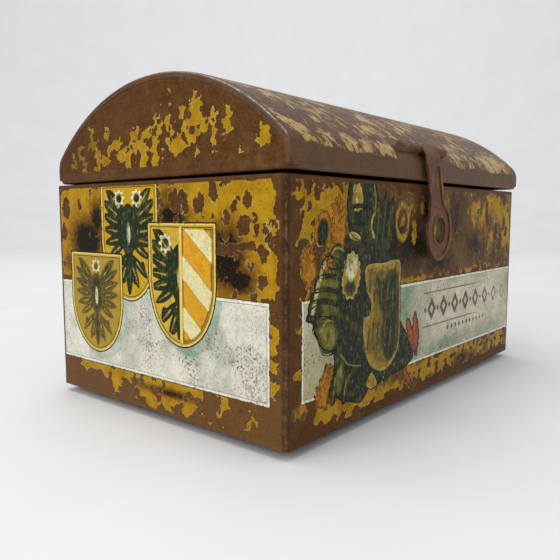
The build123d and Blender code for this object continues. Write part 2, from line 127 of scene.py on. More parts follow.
def ellipse(u, v, centre, half, turn=0.0):
    """Half across and half up, turned by some degrees."""
    cos, sin = math.cos(math.radians(turn)), math.sin(math.radians(turn))
    du, dv = u - centre[0], v - centre[1]
    across, up = (du * cos + dv * sin) / half[0], (dv * cos - du * sin) / half[1]
    return (1 - np.hypot(across, up)) * min(half)


def ellipses(u, v, rows):
    """Several at once, each (middle u, middle v, half across, half up)."""
    return either(*(ellipse(u, v, (middle_u, middle_v), half) for middle_u, middle_v, *half in rows))


def slab(u, v, low, high, corner=0.0):
    """A rectangle between two corners, which may be rounded."""
    du = np.abs(u - (low[0] + high[0]) / 2) - (high[0] - low[0]) / 2 + corner
    dv = np.abs(v - (low[1] + high[1]) / 2) - (high[1] - low[1]) / 2 + corner
    outside = np.hypot(np.maximum(du, 0), np.maximum(dv, 0))
    return corner - outside - np.minimum(np.maximum(du, dv), 0)


def smooth_points(points, closed=True, steps=6):
    """A Catmull-Rom curve through the points."""
    points = np.array(points, float)
    if closed:
        before, after, last = np.roll(points, 1, 0), np.roll(points, -1, 0), np.roll(points, -2, 0)
    else:
        padded = np.vstack([2 * points[0] - points[1], points, 2 * points[-1] - points[-2]])
        before, points, after, last = padded[:-3], padded[1:-2], padded[2:-1], padded[3:]
    found = []
    for step in range(steps):
        t = step / steps
        found.append(
            points
            + 0.5 * t * (after - before)
            + t * t * (before - 2.5 * points + 2 * after - 0.5 * last)
            + 0.5 * t**3 * (3 * points - before - 3 * after + last)
        )
    curve = np.stack(found, 1).reshape(-1, 2)
    if not closed:
        curve = np.vstack([curve, after[-1]])
    return curve


def segment(u, v, start, end):
    """How far along a straight piece the nearest point lies, 0 to 1, and how far away it is."""
    eu, ev = end[0] - start[0], end[1] - start[1]
    along = np.clip(((u - start[0]) * eu + (v - start[1]) * ev) / (eu * eu + ev * ev), 0, 1)
    return along, np.hypot(u - start[0] - along * eu, v - start[1] - along * ev)


def outline(u, v, points):
    """Signed distance to a smooth closed outline."""
    points = smooth_points(points)
    nearest = np.full(u.shape, np.inf)
    inside = np.zeros(u.shape, bool)
    for start, end in zip(points, np.roll(points, -1, 0)):
        nearest = np.minimum(nearest, segment(u, v, start, end)[1])
        crosses = (start[1] > v) != (end[1] > v)
        eu, ev = end - start
        inside ^= crosses & (u < start[0] + eu * (v - start[1]) / (ev or TINY))
    return np.where(inside, nearest, -nearest)


def stroke(u, v, points, start, end=None, smooth=True):
    """A brush line whose half-width goes from start to end."""
    end = start if end is None else end
    points = smooth_points(points, closed=False) if smooth else np.array(points, float)
    spans = len(points) - 1
    best = np.full(u.shape, -np.inf)
    for i in range(spans):
        along, away = segment(u, v, points[i], points[i + 1])
        best = np.maximum(best, start + (end - start) * (i + along) / spans - away)
    return best


def strokes(u, v, rows):
    """Several at once, each (half-width at the start, half-width at the end, points)."""
    return either(*(stroke(u, v, points, start, end) for start, end, points in rows))


def leaf(u, v, base, tip, width):
    """A pointed leaf: the overlap of two discs."""
    base, tip = np.array(base, float), np.array(tip, float)
    half = np.linalg.norm(tip - base) / 2
    radius = (half**2 + (width / 2) ** 2) / width
    middle, along = (base + tip) / 2, (tip - base) / (2 * half)
    side = np.array([-along[1], along[0]]) * (radius - width / 2)
    discs = [radius - np.hypot(u - middle[0] - s * side[0], v - middle[1] - s * side[1]) for s in (-1, 1)]
    return np.minimum(*discs)


def either(*outlines):
    return np.maximum.reduce(outlines)


def without(first, *others):
    return np.minimum(first, -either(*others))


def soft(u, v, blobs):
    """Soft round shadows, 0 to 1, from (u, v, half across, half up, strength)."""
    total = 0
    for cu, cv, half_u, half_v, strength in blobs:
        far = ((u - cu) / half_u) ** 2 + ((v - cv) / half_v) ** 2
        total = np.maximum(total, strength * np.exp(-far))
    return total


# --- motifs of the print ---
def shield(u, v, middle, top, half, height):
    """A shield with straight sides and a round foot."""
    spring, depth = top - 0.45 * height, 0.55 * height
    across, down = (u - middle) / half, (v - spring) / depth
    reach = np.maximum(np.hypot(across, down), 0.2)
    foot = (1 - reach) * reach / np.maximum(np.hypot(across / half, down / depth), 0.01)
    sides = half - np.abs(u - middle)
    return np.minimum(top - v, np.where(v > spring, sides, foot))


SIDE_LEAVES = (    # base x, base y, tip x, tip y, width
    (0.10, 0.35, 0.86, 1.12, 0.30), (0.12, 0.28, 1.00, 0.82, 0.28), (0.12, 0.18, 1.02, 0.48, 0.26),
    (0.12, 0.06, 1.00, 0.14, 0.25), (0.12, -0.05, 0.94, -0.20, 0.24), (0.10, -0.15, 0.78, -0.52, 0.22),
    (0.06, -0.40, 0.70, -0.98, 0.20), (0.04, -0.50, 0.36, -1.22, 0.20),
)


def plant(u, v, centre, size, sides=(-1, 1), blossoms=((-0.32, 0.84), (0.32, 0.84))):
    """A tree with spread leaves and round blossoms: its dark part, its pale part and its veins."""
    x, y = (u - centre[0]) / size, (v - centre[1]) / size
    dark = [ellipse(x, y, (0, 0.12), (0.30, 0.60)), leaf(x, y, (0, -0.2), (0, -1.45), 0.26)]
    veins = []
    for side in sides:
        for base_x, base_y, tip_x, tip_y, width in SIDE_LEAVES:
            dark.append(leaf(x * side, y, (base_x, base_y), (tip_x, tip_y), width))
            reach_x, reach_y = tip_x - base_x, tip_y - base_y
            ends = [(base_x + part * reach_x, base_y + part * reach_y) for part in (0.35, 0.85)]
            veins.append(stroke(x * side, y, ends, 0.025, 0.008, smooth=False))
        curl = [(0.1, -0.62), (0.34, -0.66), (0.52, -0.80), (0.50, -0.62), (0.38, -0.70)]
        dark.append(stroke(x * side, y, curl, 0.06, 0.05))
        dark.append(ellipse(x * side, y, (0.22, -1.02), (0.09, 0.09)))
    pale = [leaf(x, y, (0, 0.34), (0, -0.25), 0.16)]
    for bx, by in blossoms:
        dark.append(stroke(x, y, [(0, 0.3), (bx * 0.7, by - 0.3), (bx, by)], 0.08, smooth=False))
        away = np.hypot(x - bx, y - by)
        petals = 0.19 + 0.035 * np.cos(8 * np.arctan2(y - by, x - bx)) - away
        pale.append(np.minimum(petals, away - 0.10))
    return either(*dark) * size, either(*pale) * size, either(*veins) * size


def frond(u, v, points, lobe, start=0.5):
    """A curling rib with pointed lobes to both sides, smaller towards its tip."""
    path = smooth_points(points, closed=False, steps=3)
    parts = [stroke(u, v, points, 0.28 * lobe, 0.1 * lobe)]
    for i in range(1, len(path) - 1):
        along = path[i + 1] - path[i - 1]
        along = along / np.linalg.norm(along)
        size = lobe * (1 - start * i / len(path))
        for side in (-1, 1):
            outward = along * 0.75 + side * np.array([-along[1], along[0]])
            parts.append(leaf(u, v, path[i] - along * 0.3 * lobe, path[i] + outward * size, 0.62 * size))
    return either(*parts)


def ragged(u, v, cover, seed, size=3.6, spots=()):
    """What is left of the print: rust spots that swell and merge towards the edge of the cover."""
    warped_u = u + 0.36 * size * rough(u, v, 0.7 * size, seed + 1)
    warped_v = v + 0.36 * size * rough(u, v, 0.7 * size, seed + 2)
    swell = np.maximum(0.8 - 0.6 * cover, -0.3 * size)
    torn = np.minimum(pocks(warped_u, warped_v, size, seed) - swell, cover + 1.2)
    if spots:
        torn = without(torn, ellipses(warped_u, warped_v, spots))
    return torn


def scatter(seed, count, low, high, smallest, largest):
    """Random rust spots inside a box."""
    rng = np.random.default_rng(seed)
    spots = []
    for _ in range(count):
        size = smallest + (largest - smallest) * rng.random() ** 2
        place = rng.uniform(low, high)
        spots.append((place[0], place[1], size * rng.uniform(0.7, 1.1), size * rng.uniform(0.9, 1.5)))
    return spots


# --- what is printed on the ends and the back ---
PLINTH_LOW, PLINTH_HIGH = 10.3, 36.1             # a pale band round the box, under the shields
SHIELD_BORDER = 1.6
STRIPE_PITCH = 10.8


def shield_plant(u, v, middle, top, half, height, kind):
    """The plant on a shield: its leaves, its pale blossoms and its veins."""
    if kind == "halved":
        parts = plant(u, v, (middle - 0.4, top - 0.46 * height), 1.02 * half, (-1,), ((-0.42, 0.72),))
        return [np.minimum(part, middle - u - 0.7) for part in parts]
    if kind == "golden":
        return plant(u, v, (middle, top - 0.45 * height), 0.86 * half, blossoms=((0, 0.86),))
    return plant(u, v, (middle, top - 0.44 * height), 0.98 * half)


def striped_pane(u, v, middle, top, field):
    """The right half of a shield, and the slanting stripes on it."""
    pane = np.minimum(field + 0.3, u - middle - 0.6)
    slope = (0.82 * (u - middle) + v - top) / 1.3 + 3.2
    stripe = STRIPE_PITCH / 4 - np.abs(slope % STRIPE_PITCH - STRIPE_PITCH / 2)
    return pane, np.minimum(pane, stripe)


def end_print(u, v, shields, plinth, cover, smoke, teal, pitted, spots, seed):
    """A wall with shields standing on a pale plinth. Each shield is (middle, top, half, height, kind)."""
    layers = {"smoke": soft(u, v, smoke), "pitted": soft(u, v, pitted), "panel": slab(u, v, *plinth)}
    motifs = dict.fromkeys(("dark", "olive", "pale", "vein", "stripe", "pane"), np.full(u.shape, NOWHERE))
    shadow = soft(u, v, teal)
    whole = layers["panel"]
    for i, (middle, top, half, height, kind) in enumerate(shields):
        edge = shield(u, v, middle, top, half, height)
        whole = either(whole, edge)
        cast = shield(u - 2.4, v + 2.6, middle, top, half, height)
        shadow = either(0.6 * shadow, 0.65 * np.clip(0.5 + cast / 0.9, 0, 1))
        field = edge - SHIELD_BORDER
        leaves, blossoms, veins = shield_plant(u, v, middle, top, half, height, kind)
        drawn = {"olive" if kind == "golden" else "dark": leaves, "pale": blossoms, "vein": veins}
        drawn = {name: np.minimum(part, field) for name, part in drawn.items()}
        if kind == "halved":
            drawn["pane"], drawn["stripe"] = striped_pane(u, v, middle, top, field)
            layers["divider"] = np.minimum(edge - 0.8, 0.45 - np.abs(u - middle))
        for name in motifs:
            behind = without(motifs[name], edge + 0.4)
            motifs[name] = either(behind, drawn[name]) if name in drawn else behind
        layers[f"shield_{i}"] = edge
    layers.update(motifs, teal=shadow, figure=either(motifs["dark"], motifs["olive"]) - 0.3)
    left = ragged(u, v, cover, seed, spots=spots)
    layers["paint"] = either(left, whole + 0.15 * rough(u, v, 2, seed + 5))
    return layers


LEFT_PATCHES = (    # print below and beside the plinth: middle u and v, half across and up
    (31, 5.6, 3, 4.2), (44, 5.4, 3.6, 3.6), (49.5, 3.4, 2.4, 2.6), (57, 6, 5.4, 3.6), (64, 4.6, 3.4, 2.6),
    (69, 2.6, 2.6, 1.8), (77.5, 7, 1.7, 3.2), (86, 5.6, 2.4, 1.8), (15, 8.6, 2.4, 1.4), (95, 19, 1.2, 3.6),
    (94.8, 28, 1, 1.4),
)
LEFT_BARE = ((83, 49.4, 6.6, 2), (60.5, 60.5, 2.6, 4.4))    # bare patches in the yellow above it
LEFT_SPOTS = (    # rust spots in the yellow, in the same form
    (74.8, 63.4, 1.7, 2.6), (77.8, 65, 0.6, 0.9), (70, 63.4, 0.6, 0.8), (69.2, 60.2, 2.2, 2.6),
    (63.4, 61.4, 1.6, 3), (79.3, 56.6, 1.3, 2), (82.2, 60, 1.3, 1.3), (86.8, 61.1, 1.6, 1.9),
    (83.6, 61.8, 0.6, 0.9), (85.4, 54.9, 2.3, 2.6), (88.9, 56.9, 0.8, 1.1), (89.8, 54, 0.9, 1.4),
    (92.4, 54.2, 0.8, 1.7), (79.4, 52.4, 1, 1.3), (91.8, 48, 1.6, 2.1), (88.4, 44.5, 1.1, 1.2),
    (91.8, 41.4, 1.7, 1.6), (86.6, 45.4, 0.5, 0.7), (94.2, 51.4, 1, 2), (74, 57.6, 0.5, 0.8),
    (88.6, 36.8, 1.2, 1.6), (82.5, 37.2, 1.1, 0.9), (5, 60, 2.2, 3.4), (3.6, 52, 1.8, 2.4),
    (13, 61, 0.8, 1.85), (19, 64.6, 0.8, 1),
)


def left_print(u, v):
    """The left end: three shields, the halved one in front."""
    cover = either(
        slab(u, v, (54, 36), (95.4, 66.4), 2) + 0.4,
        slab(u, v, (1, 36), (26, 66.5), 1),
        slab(u, v, (18, 7.6), (70, 10.4)) + 0.4,
        ellipses(u, v, LEFT_PATCHES),
    )
    return end_print(
        u, v,
        shields=((38.6, 66.7, 13.4, 34.6, "green"), (21.2, 45.5, 13.6, 31.2, "golden"),
                 (61.7, 55.2, 13.7, 34, "halved")),
        plinth=((1.6, PLINTH_LOW), (93.8, PLINTH_HIGH)),
        cover=without(cover, ellipses(u, v, LEFT_BARE)),
        smoke=((17, 49.5, 9.5, 7.5, 1.15), (22.5, 56, 4.5, 7, 0.9), (8, 42, 6, 4.5, 0.6),
               (79, 46.5, 7, 8.5, 1.2), (84, 41, 6, 4.2, 1), (58, 57.4, 8, 4, 1), (56, 63, 4, 4, 0.5),
               (56, 6.8, 16, 1.4, 0.8)),
        teal=((42.5, 30.5, 6.5, 5.5, 1), (36.5, 20, 4.5, 9, 0.8), (28, 12.4, 9, 2.8, 0.8),
              (66, 20.4, 13, 3.8, 0.9), (76.6, 29, 2.8, 9, 0.9), (46, 26, 5, 8, 0.5)),
        pitted=((75, 24, 6, 4, 0.7), (86, 21, 9, 3, 0.8), (66, 17, 4, 3, 0.7), (67, 12.6, 3, 3, 0.8),
                (45, 27, 4, 4, 0.5), (47, 19, 3, 5, 0.6), (90, 16, 6, 7, 0.5), (38, 24, 3, 2, 0.4)),
        spots=LEFT_SPOTS,
        seed=11,
    )


def right_print(u, v):
    """The right end: two shields, worn much as the left end is."""
    cover = either(
        slab(u, v, (4, 37), (40, 65), 2),
        slab(u, v, (58, 37), (96, 65), 2) - 1,
        slab(u, v, (12, 5), (86, 10)) - 0.6)
    return end_print(
        u, v,
        shields=((33.5, 60.5, 13.6, 35, "halved"), (64, 57, 13.6, 34, "green")),
        plinth=((5.2, PLINTH_LOW), (97, PLINTH_HIGH)),
        cover=cover,
        smoke=((50, 47, 6, 9, 0.9), (82, 45, 5, 8, 0.9), (16, 44, 5, 7, 0.7)),
        teal=((49, 29, 4, 8, 0.8), (38, 23, 12, 3.4, 0.8), (70, 21, 12, 3.4, 0.8), (80.5, 30, 3.4, 8, 0.8)),
        pitted=((20, 24, 9, 7, 0.8), (86, 18, 8, 6, 0.7), (50, 18, 6, 4, 0.6)),
        spots=scatter(31, 34, (4, 38), (95, 65), 0.5, 2.4),
        seed=37,
    )


def back_print(u, v):
    """The back: two shields either side of the seam, above the same plinth."""
    return end_print(
        u, v,
        shields=((50, 56, 13.4, 34, "golden"), (100, 56, 13.4, 34, "green")),
        plinth=((5.2, PLINTH_LOW), (144.8, PLINTH_HIGH)),
        cover=either(slab(u, v, (5, 37), (145, 64), 2) - 0.4, slab(u, v, (10, 4.5), (142, 10)) - 0.9),
        smoke=((66, 46, 5, 8, 0.9), (33, 45, 5, 8, 0.8), (84, 46, 5, 7, 0.8), (116, 45, 5, 8, 0.9)),
        teal=((64.5, 29, 4, 8, 0.9), (53, 21, 12, 3.4, 0.8), (114.5, 29, 4, 8, 0.9),
              (103, 21, 12, 3.4, 0.8)),
        pitted=((20, 22, 10, 7, 0.8), (80, 20, 9, 6, 0.7), (132, 24, 9, 8, 0.8)),
        spots=scatter(53, 70, (4, 38), (146, 65), 0.5, 3),
        seed=59,
    )


# --- what is printed on the front: x from the middle of the wall, v up from its foot ---
ARMOUR = {    # points round each part of an empty suit of armour
    "helm": [(-49.6, 58), (-49.2, 64.4), (-46.6, 67), (-37.6, 67.4), (-34.6, 64.6), (-34.9, 58.5),
             (-37.2, 53), (-43, 50.6), (-48.2, 53)],
    "neck": [(-48.4, 53), (-38.6, 53), (-36.6, 46), (-41, 44), (-47.6, 46.4), (-51.5, 47.4)],
    "shoulder": [(-58.4, 44.4), (-57, 48.2), (-53, 50), (-49.6, 47.6), (-51.6, 43.6)],
    "elbow": [(-67.4, 31.6), (-64.6, 34.4), (-58.6, 34.8), (-52.8, 32.4), (-51.4, 27.2), (-54.2, 22.2),
              (-60.4, 23.4), (-63.6, 27.8), (-64.8, 30.4)],
    "cuff": [(-64.6, 29.2), (-58, 31), (-52.6, 27.2), (-54.6, 21.8), (-60, 21.6), (-62.4, 25.6)],
    "torso": [(-45.4, 49.6), (-39.4, 50.2), (-36.4, 46), (-38.4, 38), (-41.2, 29), (-39.4, 15),
              (-43.6, 12.4), (-50.2, 16.4), (-52.4, 26), (-49.6, 34), (-46, 42)],
    "skirt": [(-53.6, 24), (-47.8, 17.6), (-38.6, 15.4), (-35.2, 12.2), (-40.8, 5), (-47.4, 6.2),
              (-52.6, 8), (-56.6, 12.4), (-55.2, 18)],
    "thigh": [(-55.4, 14), (-52, 18.6), (-49.8, 17), (-50.6, 11.6), (-53.2, 8.8)],
    "knee": [(-48.4, 13.6), (-44, 14.8), (-40.6, 13.6), (-41.6, 9.2), (-44.4, 6.6), (-48, 8.4)],
    "ankle": [(-39.2, 9.6), (-36, 12.2), (-33, 8.4), (-36.6, 7.4)],
    "held": [(-40.4, 42.6), (-36.6, 44), (-30, 43.8), (-24, 44.4), (-20.4, 43.2), (-20, 36),
             (-19.8, 28.4), (-20.4, 18), (-24, 13.4), (-30, 11.4), (-36.9, 14.4), (-40.2, 20.1),
             (-41, 28.4), (-38.2, 29.2), (-36.9, 32.6), (-39.4, 36.4)],
    "held_shade": [(-34.6, 40.6), (-30.6, 38.6), (-27, 41.4), (-22.4, 40.8), (-20.8, 36), (-20.4, 20),
                   (-24.6, 14.4), (-28.4, 14.6), (-31.8, 22), (-30.6, 27), (-33.6, 33)],
    "behind": [(-54, 50), (-36, 53), (-28, 47), (-22, 41), (-24, 12), (-34, 8), (-52, 10), (-56, 30)],
    "ground": [(-24, 26), (-17.4, 23), (-12.6, 16), (-11.4, 11.6), (-20, 9.4), (-27, 11)],
}
ARM_PLATES = (    # the overlapping plates from the shoulder to the elbow
    [(-61, 45.2), (-57.6, 47), (-51.6, 44.6), (-52.4, 40.6), (-57.6, 41.6), (-62.4, 41.6)],
    [(-62.7, 41.8), (-57.6, 42.4), (-52.4, 40.8), (-53.4, 37.2), (-58.4, 38), (-64.2, 38.4)],
    [(-64.3, 38.6), (-58.6, 38.9), (-53.4, 37.2), (-53.9, 34.2), (-59.4, 35.2), (-65.4, 36)],
    [(-65.5, 36), (-59.6, 36), (-53.8, 34.4), (-52.8, 30.6), (-59, 31.6), (-66, 32.6)],
)
PLATE_GLINTS = ((-59.8, 45.6), (-61.4, 41.8), (-62.8, 38.2), (-63.8, 35.2))
FOOT_FRONDS = (    # points and length of the lobes
    ([(-55.6, 8.2), (-54.6, 13.4), (-51.6, 17.4)], 2),
    ([(-50.4, 7.2), (-49.4, 12), (-46.8, 14.4)], 1.9),
    ([(-44, 6), (-42.4, 10), (-38.4, 12.6)], 1.7),
)
GLINTS = (    # half-width at each end, and points
    (0.35, 0.35, [(-57.4, 46.8), (-54.6, 49), (-51.4, 48.2)]),
    (0.4, 0.25, [(-35.6, 57.6), (-35.2, 62), (-36.2, 65.8)]),
    (0.45, 0.45, [(-47.4, 66.4), (-42, 67), (-37.4, 66.6)]),
    (0.45, 0.7, [(-36.4, 57.6), (-37.4, 54.4), (-36, 51.4)]),
    (0.3, 0.2, [(-61.8, 27.6), (-58.6, 30.2), (-54.6, 29.6)]),
    (0.28, 0.2, [(-60.2, 24.6), (-56.8, 23.6)]),
    (0.32, 0.2, [(-52.2, 20.4), (-48, 16.8), (-42, 15.4)]),
    (0.4, 0.4, [(-40.9, 29), (-40.2, 20.4), (-37, 14.6)]),
    *((0.25, 0.25, points) for points, _ in FOOT_FRONDS[:2]),
)


def armour_parts(x, v):
    """The outlines of the armour, its scalloped roundel, and the curl behind its shoulder."""
    parts = {name: outline(x, v, points) for name, points in ARMOUR.items()}
    angle = np.arctan2(v - 41.2, x + 47.4)
    parts["roundel"] = ellipse(x, v, (-47.4, 41.2), (4.7, 6.7), -8) - 0.28 * np.cos(15 * angle)
    parts["curl"] = ellipse(x, v, (-60.6, 53), (2.9, 4.6), -12)
    parts["feet"] = either(*(frond(x, v, points, lobe) for points, lobe in FOOT_FRONDS))
    return parts


def armour_dark(x, v, parts, plates):
    """Everything dark: the metal, the plumes behind the helm, and the shadow round the figure."""
    plumes = [
        leaf(x, v, (-35.4, 46), (-33.8, 63.6), 4.6), leaf(x, v, (-32.4, 44.6), (-29.4, 64.6), 5),
        leaf(x, v, (-29.6, 44), (-25, 63.8), 4.6), leaf(x, v, (-35, 44), (-24.6, 54), 6),
    ]
    metal = [parts[name] for name in ("helm", "neck", "shoulder", "elbow", "torso", "skirt")]
    return either(
        *metal, *plates, *plumes,
        parts["feet"] + 0.5,
        parts["behind"] + 0.5 * rough(x, v, 2.5, 83),
        parts["ground"] + 0.4 * rough(x, v, 2, 85),
        np.minimum(parts["curl"], v - 49.4) - 0.5,
    )


def armour_lit(x, v, parts, plates):
    """Where the light falls on the green metal and the plumes."""
    return either(
        *(np.minimum(plate, ellipse(x, v, (-58, 39 + 0.2 * i), (6.4, 12), 24)) - 0.3
          for i, plate in enumerate(plates)),
        *(stroke(x, v, [(a, b), (a + 3.4, b + 0.9), (a + 6.6, b - 0.9)], 0.34, 0.2)
          for a, b in ((-59.4, 43.4), (-60.8, 40.2), (-61.8, 37.2), (-62.4, 34.2), (-62.2, 33))),
        parts["cuff"] - 0.4,
        parts["thigh"] + 0.5 * rough(x, v, 2.2, 131),
        parts["feet"],
        ellipse(x, v, (-59, 31.6), (2.9, 2.4), 20),
        np.minimum(parts["shoulder"] - 0.4, ellipse(x, v, (-55, 47), (3.4, 2.2), -20)),
        *(leaf(x, v, (a - 0.3, 46.5), (a + 2.2, 62.5), 1.8) for a in (-34.8, -31.6, -28.2)),
        *(stroke(x, v, [(a, 64.6), (a - 0.9, 61.6)], 0.3, 0.15) for a in (-41.2, -39.6, -38)),
        *(stroke(x, v, [(a, 31), (a - 0.8, 24), (a + 0.8, 18.4)], 0.32, 0.12)
          for a in (-46.6, -44.4, -42.2)),
        *(stroke(x, v, [(a, 48.6), (a - 0.8, 43)], 0.3, 0.12) for a in (-41.6, -40, -38.4)),
    )


def armour_glow(x, v, parts, plates):
    """The palest touches, on the edges that catch the light."""
    roundel_light = ellipse(x, v, (-47.2, 43.6), (3.4, 4.4), -8) - 0.5 * np.abs(rough(x, v, 1.5, 75))
    helm_light = ellipse(x, v, (-44.9, 60.6), (0.8, 1.9), 4) + 0.5 * rough(x, v, 2, 89)
    return either(
        strokes(x, v, GLINTS),
        *(np.minimum(plate - 0.25, stroke(x, v, [(a, b), (a - 1.6, b - 3.4)], 1, 0.7, smooth=False))
          for plate, (a, b) in zip(plates, PLATE_GLINTS)),
        np.minimum(parts["helm"] - 0.8, helm_light),
        np.minimum(parts["roundel"] - 0.6, roundel_light),
        *(ellipse(x, v, (-31.8 + 0.62 * i, 4.2 + 1.3 * i), (0.42, 0.5)) for i in range(6)),
    )


def armour_gold(x, v, parts):
    """The golden shield, the roundel, the helm's front, and a scrap of print behind the hasp's eye."""
    helm_gold = ellipse(x, v, (-44.6, 62.2), (2.5, 3.9), 4) + 0.7 * rough(x, v, 2.4, 89)
    return either(
        parts["held"],
        parts["roundel"] - 0.2,
        np.minimum(parts["helm"] - 0.8, helm_gold),
        ellipse(x, v, (-45.8, 51.7), (3, 1.1), -14),
        parts["ankle"] + 0.4 * rough(x, v, 1.8, 133),
        ellipse(x, v, (PIP_X - 0.9, PIP_V + 0.5), (2.2, 3.4)) + 0.9 * rough(x, v, 1.7, 121),
    )


def armour_shade(x, v, parts):
    """Shade and grooves on the golden shield and the roundel."""
    grooves = [
        leaf(x, v, (a, b), (a + 1, b + 8), 1.1)
        for a, b in ((-38.9, 17), (-38.2, 32), (-36.2, 20), (-35.6, 31), (-33.8, 18))]
    shade = parts["held_shade"] - 0.5 * np.abs(ripple(3 * x, 0.4 * v, 2, 77))
    return either(
        np.minimum(parts["held"] - 0.8, shade),
        *(np.minimum(parts["held"] - 1, groove) for groove in grooves),
        np.minimum(parts["roundel"] - 0.8, ellipse(x, v, (-47.8, 37.2), (2.9, 3), -8)),
    )


def shield_sheen(x, v, parts):
    """Lighter streaks in the shade of the golden shield."""
    starts = ((-31.6, 30), (-29.4, 20), (-28, 31), (-26.2, 17), (-25, 28), (-22.8, 20), (-22.6, 32))
    streaks = either(*(leaf(x, v, (a, b), (a + 0.8, b + 9), 0.8) for a, b in starts))
    return np.minimum(parts["held_shade"] - 0.6, streaks)


def foliage(x, v):
    """The orange leaves round the armour."""
    return [
        frond(x, v, [(-59, 8), (-60.4, 11.4), (-58.4, 14.6), (-56.8, 18.4)], 3.4),
        frond(x, v, [(-66.2, 40.4), (-66.2, 44), (-67, 47), (-63.8, 48.6)], 3.3),
        frond(x, v, [(-60.4, 47), (-57.8, 44.6), (-59.8, 42.8)], 2.6),
    ]


def ink_lines(x, v, parts, plates, leaves):
    """Dark lines round the parts, the slit and the breathing holes of the helm."""
    slit = stroke(x, v, [(-49, 59.4), (-43.6, 60), (-38, 59.2)], 0.75, 0.5)
    holes = [ellipse(x, v, (-47.4 + 1.5 * i, 55.4 - 0.25 * (i % 3)), (0.42, 0.62)) for i in range(6)]
    edges = [parts[name] for name in ("helm", "shoulder", "elbow", "cuff", "held", "thigh", "knee", "ankle")]
    line = either(
        slit, *holes,
        *(0.22 - np.abs(edge) for edge in (*edges, *plates)),
        *(0.16 - np.abs(edge + 0.1) for edge in (*leaves, parts["roundel"])),
    )
    held = parts["held"]
    return np.minimum(line, np.maximum(0.8 - np.abs(held), -held))


def front_scraps(x, v):
    """Scraps of gold print beside the hasp, one of them a round rosette."""
    rosette = ellipse(x, v, (-19.4, 55.6), (3.7, 5.2))
    rosette = either(0.8 - np.abs(rosette), ellipse(x, v, (-19.4, 55.6), (1.3, 2)))
    scraps = ellipses(x, v, (
        (-12, 52, 1.8, 4), (-6.8, 60, 1.2, 2.4), (4.8, 52.8, 2.2, 3), (-15.2, 58.6, 0.9, 1.6)))
    return either(rosette + 0.7 * rough(x, v, 2, 87), scraps + 1.1 * rough(x, v, 1.8, 135))


def red_blossoms(x, v):
    """The red blossoms at the foot of the golden shield, and the light along their petals."""
    blossoms = either(
        leaf(x, v, (-15.6, 26.6), (-12, 15.4), 4.2), leaf(x, v, (-10.4, 27.2), (-8.6, 12), 5),
        leaf(x, v, (-14, 22), (-9.4, 12.6), 3), leaf(x, v, (-18.4, 10.4), (-10.6, 2.2), 3.2),
        stroke(x, v, [(-13.6, 4.6), (-10.4, 2.2), (-7.6, 5)], 0.8, 0.4),
    )
    petals = either(*(stroke(x, v, points, 0.55, 0.15) for points in (
        [(-14.8, 24.6), (-13.4, 21), (-12.4, 17.6)], [(-10.4, 25.2), (-10, 20.6), (-8.8, 15)],
        [(-12.6, 21), (-11.4, 18), (-9.6, 14.6)], [(-16.6, 8.8), (-13.4, 5.6), (-11.4, 3.2)])))
    return blossoms + 1.0 * rough(x, v, 2.2, 119), petals


def banner_ornament(x, v):
    """A plain row of lozenges and dots between two ruled lines, worn away towards the right."""
    pitch = 9.2
    cell = (x + 3) % pitch - pitch / 2
    row = 26.4
    lozenge = (1 - np.abs(cell) / 3.1 - np.abs(v - row) / 4) * 2.2
    core = (1 - np.abs(cell) / 1.2 - np.abs(v - row) / 1.6) * 1.0
    dots = ellipse((x + 3.0 + pitch / 2) % pitch, v, (pitch / 2, row), (0.8, 1))
    rules = either(0.28 - np.abs(v - 32), 0.28 - np.abs(v - 20.8))
    small = ellipse((x + 3) % 3.2, v, (1.6, 18.4), (0.75, 0.95))
    small = np.minimum(small, either(slab(x, v, (12, 16), (50, 20.4))))
    row_span = slab(x, v, (-4.5, 15), (72, 33))
    marks = either(without(lozenge, core), dots, rules, small)
    return np.minimum(marks, row_span) - 0.012 * np.clip(x - 30, 0, 50)


ROUND_FIGURE = [
    (-62, 30), (-58, 52), (-52, 63), (-48, 67.4), (-34, 67.4), (-20, 64), (-2, 60), (2, 50), (12, 40),
    (0, 36), (-20, 10), (-40, 4), (-58, 6)]
FRONT_PATCHES = (    # yellow that is left: middle x and v, half across and up
    (PIP_X, PIP_V, 3.6, 5), (-69.2, 63.6, 3.4, 3.2), (-63, 59.4, 7.2, 6), (-58, 61.4, 4.6, 4),
    (-66.4, 55.6, 4.2, 5), (-69.8, 51, 0.9, 1.2), (-70.4, 33, 1.3, 2.6), (-70, 28.4, 0.9, 1.4),
    (-70.3, 19.6, 1.2, 1.8), (-69.6, 8.2, 3, 2.2), (-66.8, 37.6, 2.6, 1.2),
)
FRONT_SPOTS = (    # rust spots in it, in the same form
    (-66.6, 65, 1.7, 2.4), (-66.2, 59.8, 1, 1.3), (-62.8, 62.6, 1.2, 1.8), (-64.6, 55.6, 0.9, 0.9),
    (-60.4, 58, 0.8, 1.4), (-58.6, 65.6, 1.2, 1.6), (-61.6, 65.8, 1, 1.2), (-68.8, 57.4, 0.7, 1.1),
)
FRONT_CLEAR = (    # where the yellow shows through the brown haze
    (PIP_X, PIP_V, 3.4, 4.6, 1.2), (36, 60, 6, 5, 0.9), (44, 54, 6, 7, 1.1), (56, 61, 9, 5, 1.3),
    (66, 58, 9, 6, 1.3), (69, 49, 6, 7, 1.2), (52, 47, 4, 5, 0.8), (60, 42, 5, 3, 0.8), (10, 61, 4, 4, 0.6),
    (-2, 62, 3, 3, 0.6), (-27, 62, 4, 4, 0.8), (-63, 58, 11, 10, 1.6), (-57, 64, 8, 6, 1.4),
    (-69, 30, 3, 26, 1.5), (-40, 3, 36, 5.5, 1.4), (16, 7, 34, 3.4, 1.6), (62, 7, 11, 3.4, 1.5),
    (5, 37.4, 60, 1, 0.9), (40, 37.4, 20, 1.6, 1),
)
